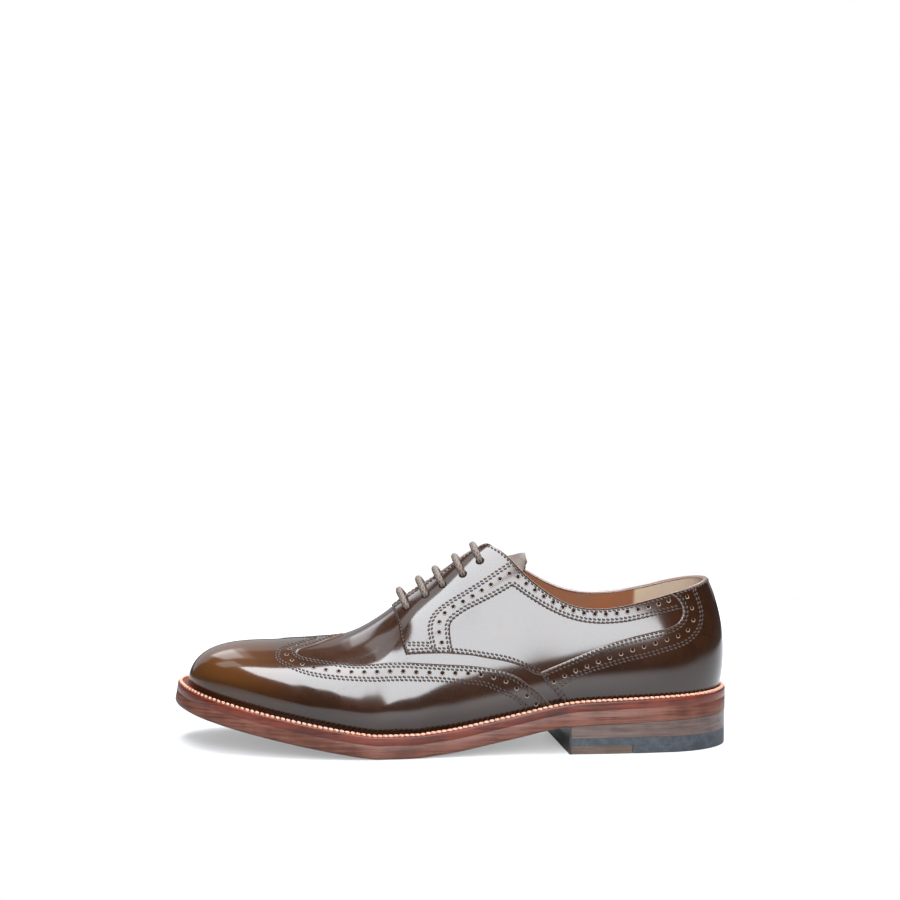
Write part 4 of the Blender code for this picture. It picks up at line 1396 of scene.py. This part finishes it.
# Angles in degrees above which an edge of the sole or heel stays sharp
SOLE_SHARP = 50
HEEL_SHARP = 40
SOLE_STEPS = 170
HEEL_STEPS = 70


def rounding(from_heel):
    """The outsole's lower edge is rounded in front of the heel and square above it."""
    return np.interp(from_heel, (BREAST_LATERAL - 2, BREAST_LATERAL + 6), (0.06, 1.0))


# Edges of the sole's layers, from below: how far in, from which outline and height, and how much above it
OUTSOLE_FOOT = ((3.0, 0.0), (1.5, 0.12), (0.6, 0.55), (0.12, 1.3), (0.0, 2.2))
LayerRow = namedtuple("LayerRow", "far edge height rise")
OUTSOLE_HEAD = [LayerRow(*row) for row in (
    (0.0, WELT_FOOT, outsole_top, BROKEN_EDGE), (JOINT, WELT_FOOT, outsole_top, JOINT_REACH))]
WELT_LAYER = [LayerRow(*row) for row in (
    (JOINT, WELT_FOOT, welt_bottom, -JOINT_REACH), (0.0, WELT_FOOT, welt_bottom, -BROKEN_EDGE),
    (0.0, WELT_EDGE, welt_top, -0.9), (0.15, WELT_EDGE, welt_top, -0.4), (0.6, WELT_EDGE, welt_top, -0.08),
    (1.4, WELT_EDGE, welt_top, 0.0), (8.0, WELT_EDGE, welt_top, 0.0), (8.0, WELT_EDGE, welt_bottom, 0.0))]
INSOLE_EDGE = inset(FEATHER_EDGE, WALL + CLEARANCE + 0.2)
INSOLE_LAYER = [LayerRow(*row) for row in (
    (WALL + CLEARANCE + 1.2, FEATHER_EDGE, feather_height, 0.2), (0.0, INSOLE_EDGE, feather_height, 1.0),
    (0.0, INSOLE_EDGE, feather_height, INSOLE_THICK - 0.6), (0.6, INSOLE_EDGE, feather_height, INSOLE_THICK))]


def layer_rings(rows):
    return [ring(inset(row.edge, row.far), raised_by(row.height, row.rise), SOLE_STEPS) for row in rows]


def make_sole():
    rings = [ring(inset(SOLE_EDGE, far * rounding(SOLE_EDGE[:, 0])),
                  lambda from_heel, rise=rise: sole_bottom(from_heel) + rise * rounding(from_heel),
                  SOLE_STEPS) for far, rise in OUTSOLE_FOOT]
    loft("outsole_leather", rings + layer_rings(OUTSOLE_HEAD), SOLE_LEATHER, slot="sole_leather",
         replaces=("outsole",), sharp=SOLE_SHARP)
    loft("welt_strip", layer_rings(WELT_LAYER), WELT_LEATHER, hollow=True, slot="welt_leather",
         replaces=("welt",), sharp=SOLE_SHARP)
    loft("insole_sock", layer_rings(INSOLE_LAYER), LINING_LEATHER, slot="insole_leather",
         replaces=("insole",), sharp=SOLE_SHARP)


def make_lift(name, finish, slot, low, high, node, start=None, end=None):
    """One layer of the heel with its edges just broken."""
    edge = inset(SOLE_EDGE, HEEL_INSET)
    ends = (BREAST_LATERAL if end is None else end, BREAST_MEDIAL if end is None else end)
    foot = -JOINT_REACH if low(0.0) > 0 else 0.0
    layers = ((JOINT, low, foot), (0.0, low, foot + BROKEN_FOOT), (0.0, high, BROKEN_EDGE),
              (JOINT, high, JOINT_REACH))
    rings = [ring(inset(edge, far), raised_by(height, rise), HEEL_STEPS, start, *ends)
             for far, height, rise in layers]
    loft(name, rings, finish, slot=slot, replaces=(node,), sharp=HEEL_SHARP)


def make_heel():
    base_bottom = TOP_PIECE_THICK + CLEARANCE
    base_top = base_bottom + BASE_LIFT_THICK
    stack_bottom = base_top + CLEARANCE

    def stack_top(from_heel):
        return sole_bottom(from_heel) - CLEARANCE

    def stack_middle(from_heel):
        return (stack_bottom + stack_top(from_heel)) / 2

    make_lift("top_piece_back", HEEL_RUBBER, "heel_rubber", level(0), level(TOP_PIECE_THICK),
              "top_piece_rubber", end=TOP_PIECE_SPLIT)
    make_lift("top_piece_front", STRIP_LEATHER, "strip_leather", level(0), level(TOP_PIECE_THICK),
              "top_piece_leather", start=TOP_PIECE_SPLIT + CLEARANCE)
    make_lift("rubber_lift", HEEL_RUBBER, "heel_rubber", level(base_bottom), level(base_top),
              "heel_base_rubber")
    make_lift("leather_lift_lower", HEEL_LEATHER, "heel_leather", level(stack_bottom),
              raised_by(stack_middle, -CLEARANCE / 2), "heel_lift_lower")
    make_lift("leather_lift_upper", HEEL_LEATHER, "heel_leather", raised_by(stack_middle, CLEARANCE / 2),
              stack_top, "heel_lift_upper")


def make_welt_stitches():
    """The light stitches that hold welt and outsole together, all the way round."""
    line = inset(WELT_EDGE, WELT_STITCH_INSET)
    loop = np.vstack([line, line[:1]])
    along = run_along(loop)
    count = int(round(along[-1] / WELT_STITCH_PITCH))
    at = (np.arange(count) + 0.5) * along[-1] / count
    flat = at_places(at, along, loop)
    ahead_flat = at_places(at + 0.5, along, loop) - at_places(at - 0.5, along, loop)
    rise = welt_top(flat[:, 0] + ahead_flat[:, 0]) - welt_top(flat[:, 0])
    ahead = unit(np.column_stack([ahead_flat, rise]))
    across = unit(np.column_stack([-ahead[:, 1], ahead[:, 0], 0 * at]))
    outward = unit(np.cross(ahead, across))
    outward *= np.sign(outward[:, 2:])
    places = np.column_stack([flat, welt_top(flat[:, 0])]) + outward * WELT_STITCH_LIFT
    points, faces = grains(places, slanted(ahead, outward, WELT_STITCH_SLANT), outward,
                           WELT_STITCH_LENGTH / 2, WELT_STITCH_RADIUS, WELT_STITCH_SIDES)
    new_piece("welt_stitches", points, faces, WELT_THREAD)


make_upper()
make_lining()
make_seams()
make_holes()
make_laces()
make_tongue()
make_sole()
make_heel()
make_welt_stitches()


# Floor, light and camera

FLOOR_SIDES = 96
LIGHT_COLOUR = (0.91, 0.96, 1.0)
ROOM_COLOUR = (0.9, 0.95, 1.0, 1)
ROOM_STRENGTH = 0.05
WHITE = (1, 1, 1, 1)
Softbox = namedtuple("Softbox", "name place facing along width length brightness")
SOFTBOXES = [Softbox(*row) for row in (
    ("side_softbox", (0.04, -1.175, 0.8), (-0.3, 0.95, -0.05), (-0.41, -0.08, 0.91), 0.46, 1.39, 13),
    ("top_softbox", (-0.175, -0.454, 0.822), (0.67, -0.42, -0.61), (0.06, 0.855, -0.515), 0.34, 1.22, 13),
    ("throat_panel", (-0.54, 0.24, 0.82), (0.5, -0.25, -0.72), (0, 0.95, -0.33), 0.3, 0.3, 1.8),
    ("vamp_panel", (-0.38, 0.66, 0.65), (0.33, -0.7, -0.6), (0, 0.65, -0.76), 0.2, 0.42, 1.8),
    ("wide_vamp_panel", (-0.37, 0.66, 0.67), (0.33, -0.7, -0.6), (0, 0.65, -0.76), 0.28, 0.5, 0.7),
    ("back_panel", (0.0, 1.25, 0.55), (0, -1, -0.05), (1, 0, 0), 0.9, 2.4, 0.5),
    ("floor_light", (0.55, 0.6, 0.9), (0, 0, -1), (1, 0, 0), 0.8, 1.0, 12))]
CAMERA_PLACE = (-0.0395, -1.1318, 0.2447)
CAMERA_AZIMUTH = -1.998
CAMERA_ELEVATION = 4.193
LENS = 82.42
SENSOR = 36


def make_floor():
    turn = np.arange(FLOOR_SIDES) * 2 * math.pi / FLOOR_SIDES
    mesh = bpy.data.meshes.new("floor")
    rim = [(FLOOR_FADE_END * math.cos(t), FLOOR_FADE_END * math.sin(t), 0) for t in turn]
    mesh.from_pydata(rim, [], [tuple(range(FLOOR_SIDES))])
    mesh.materials.append(floor_finish())
    floor = bpy.data.objects.new("floor", mesh)
    bpy.context.scene.collection.objects.link(floor)


def hang(box):
    """A soft rectangular light; its length runs along the given direction."""
    light = bpy.data.lights.new(box.name, "AREA")
    light.shape = "RECTANGLE"
    light.size, light.size_y = box.width, box.length
    light.energy = box.brightness * math.pi * box.width * box.length
    light.color = LIGHT_COLOUR
    lamp = bpy.data.objects.new(box.name, light)
    bpy.context.scene.collection.objects.link(lamp)
    back = -Vector(box.facing).normalized()
    up = Vector(box.along)
    up = (up - back * up.dot(back)).normalized()
    lamp.location = box.place
    lamp.rotation_euler = Matrix((up.cross(back), up, back)).transposed().to_euler()


def make_light():
    """A dim room with softboxes, in front of a white background."""
    world = bpy.data.worlds.new("studio")
    bpy.context.scene.world = world
    world.use_nodes = True
    tree = world.node_tree
    room = tree.nodes["Background"]
    room.inputs["Color"].default_value = ROOM_COLOUR
    room.inputs["Strength"].default_value = ROOM_STRENGTH
    seen = tree.nodes.new("ShaderNodeBackground")
    seen.inputs["Color"].default_value = WHITE
    seen.inputs["Strength"].default_value = 1.0
    path = tree.nodes.new("ShaderNodeLightPath")
    both = tree.nodes.new("ShaderNodeMixShader")
    tree.links.new(path.outputs["Is Camera Ray"], both.inputs[0])
    tree.links.new(room.outputs[0], both.inputs[1])
    tree.links.new(seen.outputs[0], both.inputs[2])
    tree.links.new(both.outputs[0], tree.nodes["World Output"].inputs["Surface"])
    bpy.context.scene.view_settings.view_transform = "Standard"
    for box in SOFTBOXES:
        hang(box)


def make_camera():
    lens = bpy.data.cameras.new("camera")
    lens.sensor_width = SENSOR
    lens.lens = LENS
    camera = bpy.data.objects.new("camera", lens)
    bpy.context.scene.collection.objects.link(camera)
    camera.location = CAMERA_PLACE
    azimuth, elevation = math.radians(CAMERA_AZIMUTH), math.radians(CAMERA_ELEVATION)
    back = Vector((math.sin(azimuth) * math.cos(elevation), -math.cos(azimuth) * math.cos(elevation),
                   math.sin(elevation)))
    camera.rotation_euler = (-back).to_track_quat("-Z", "Y").to_euler()
    bpy.context.scene.camera = camera


make_floor()
make_light()
make_camera()
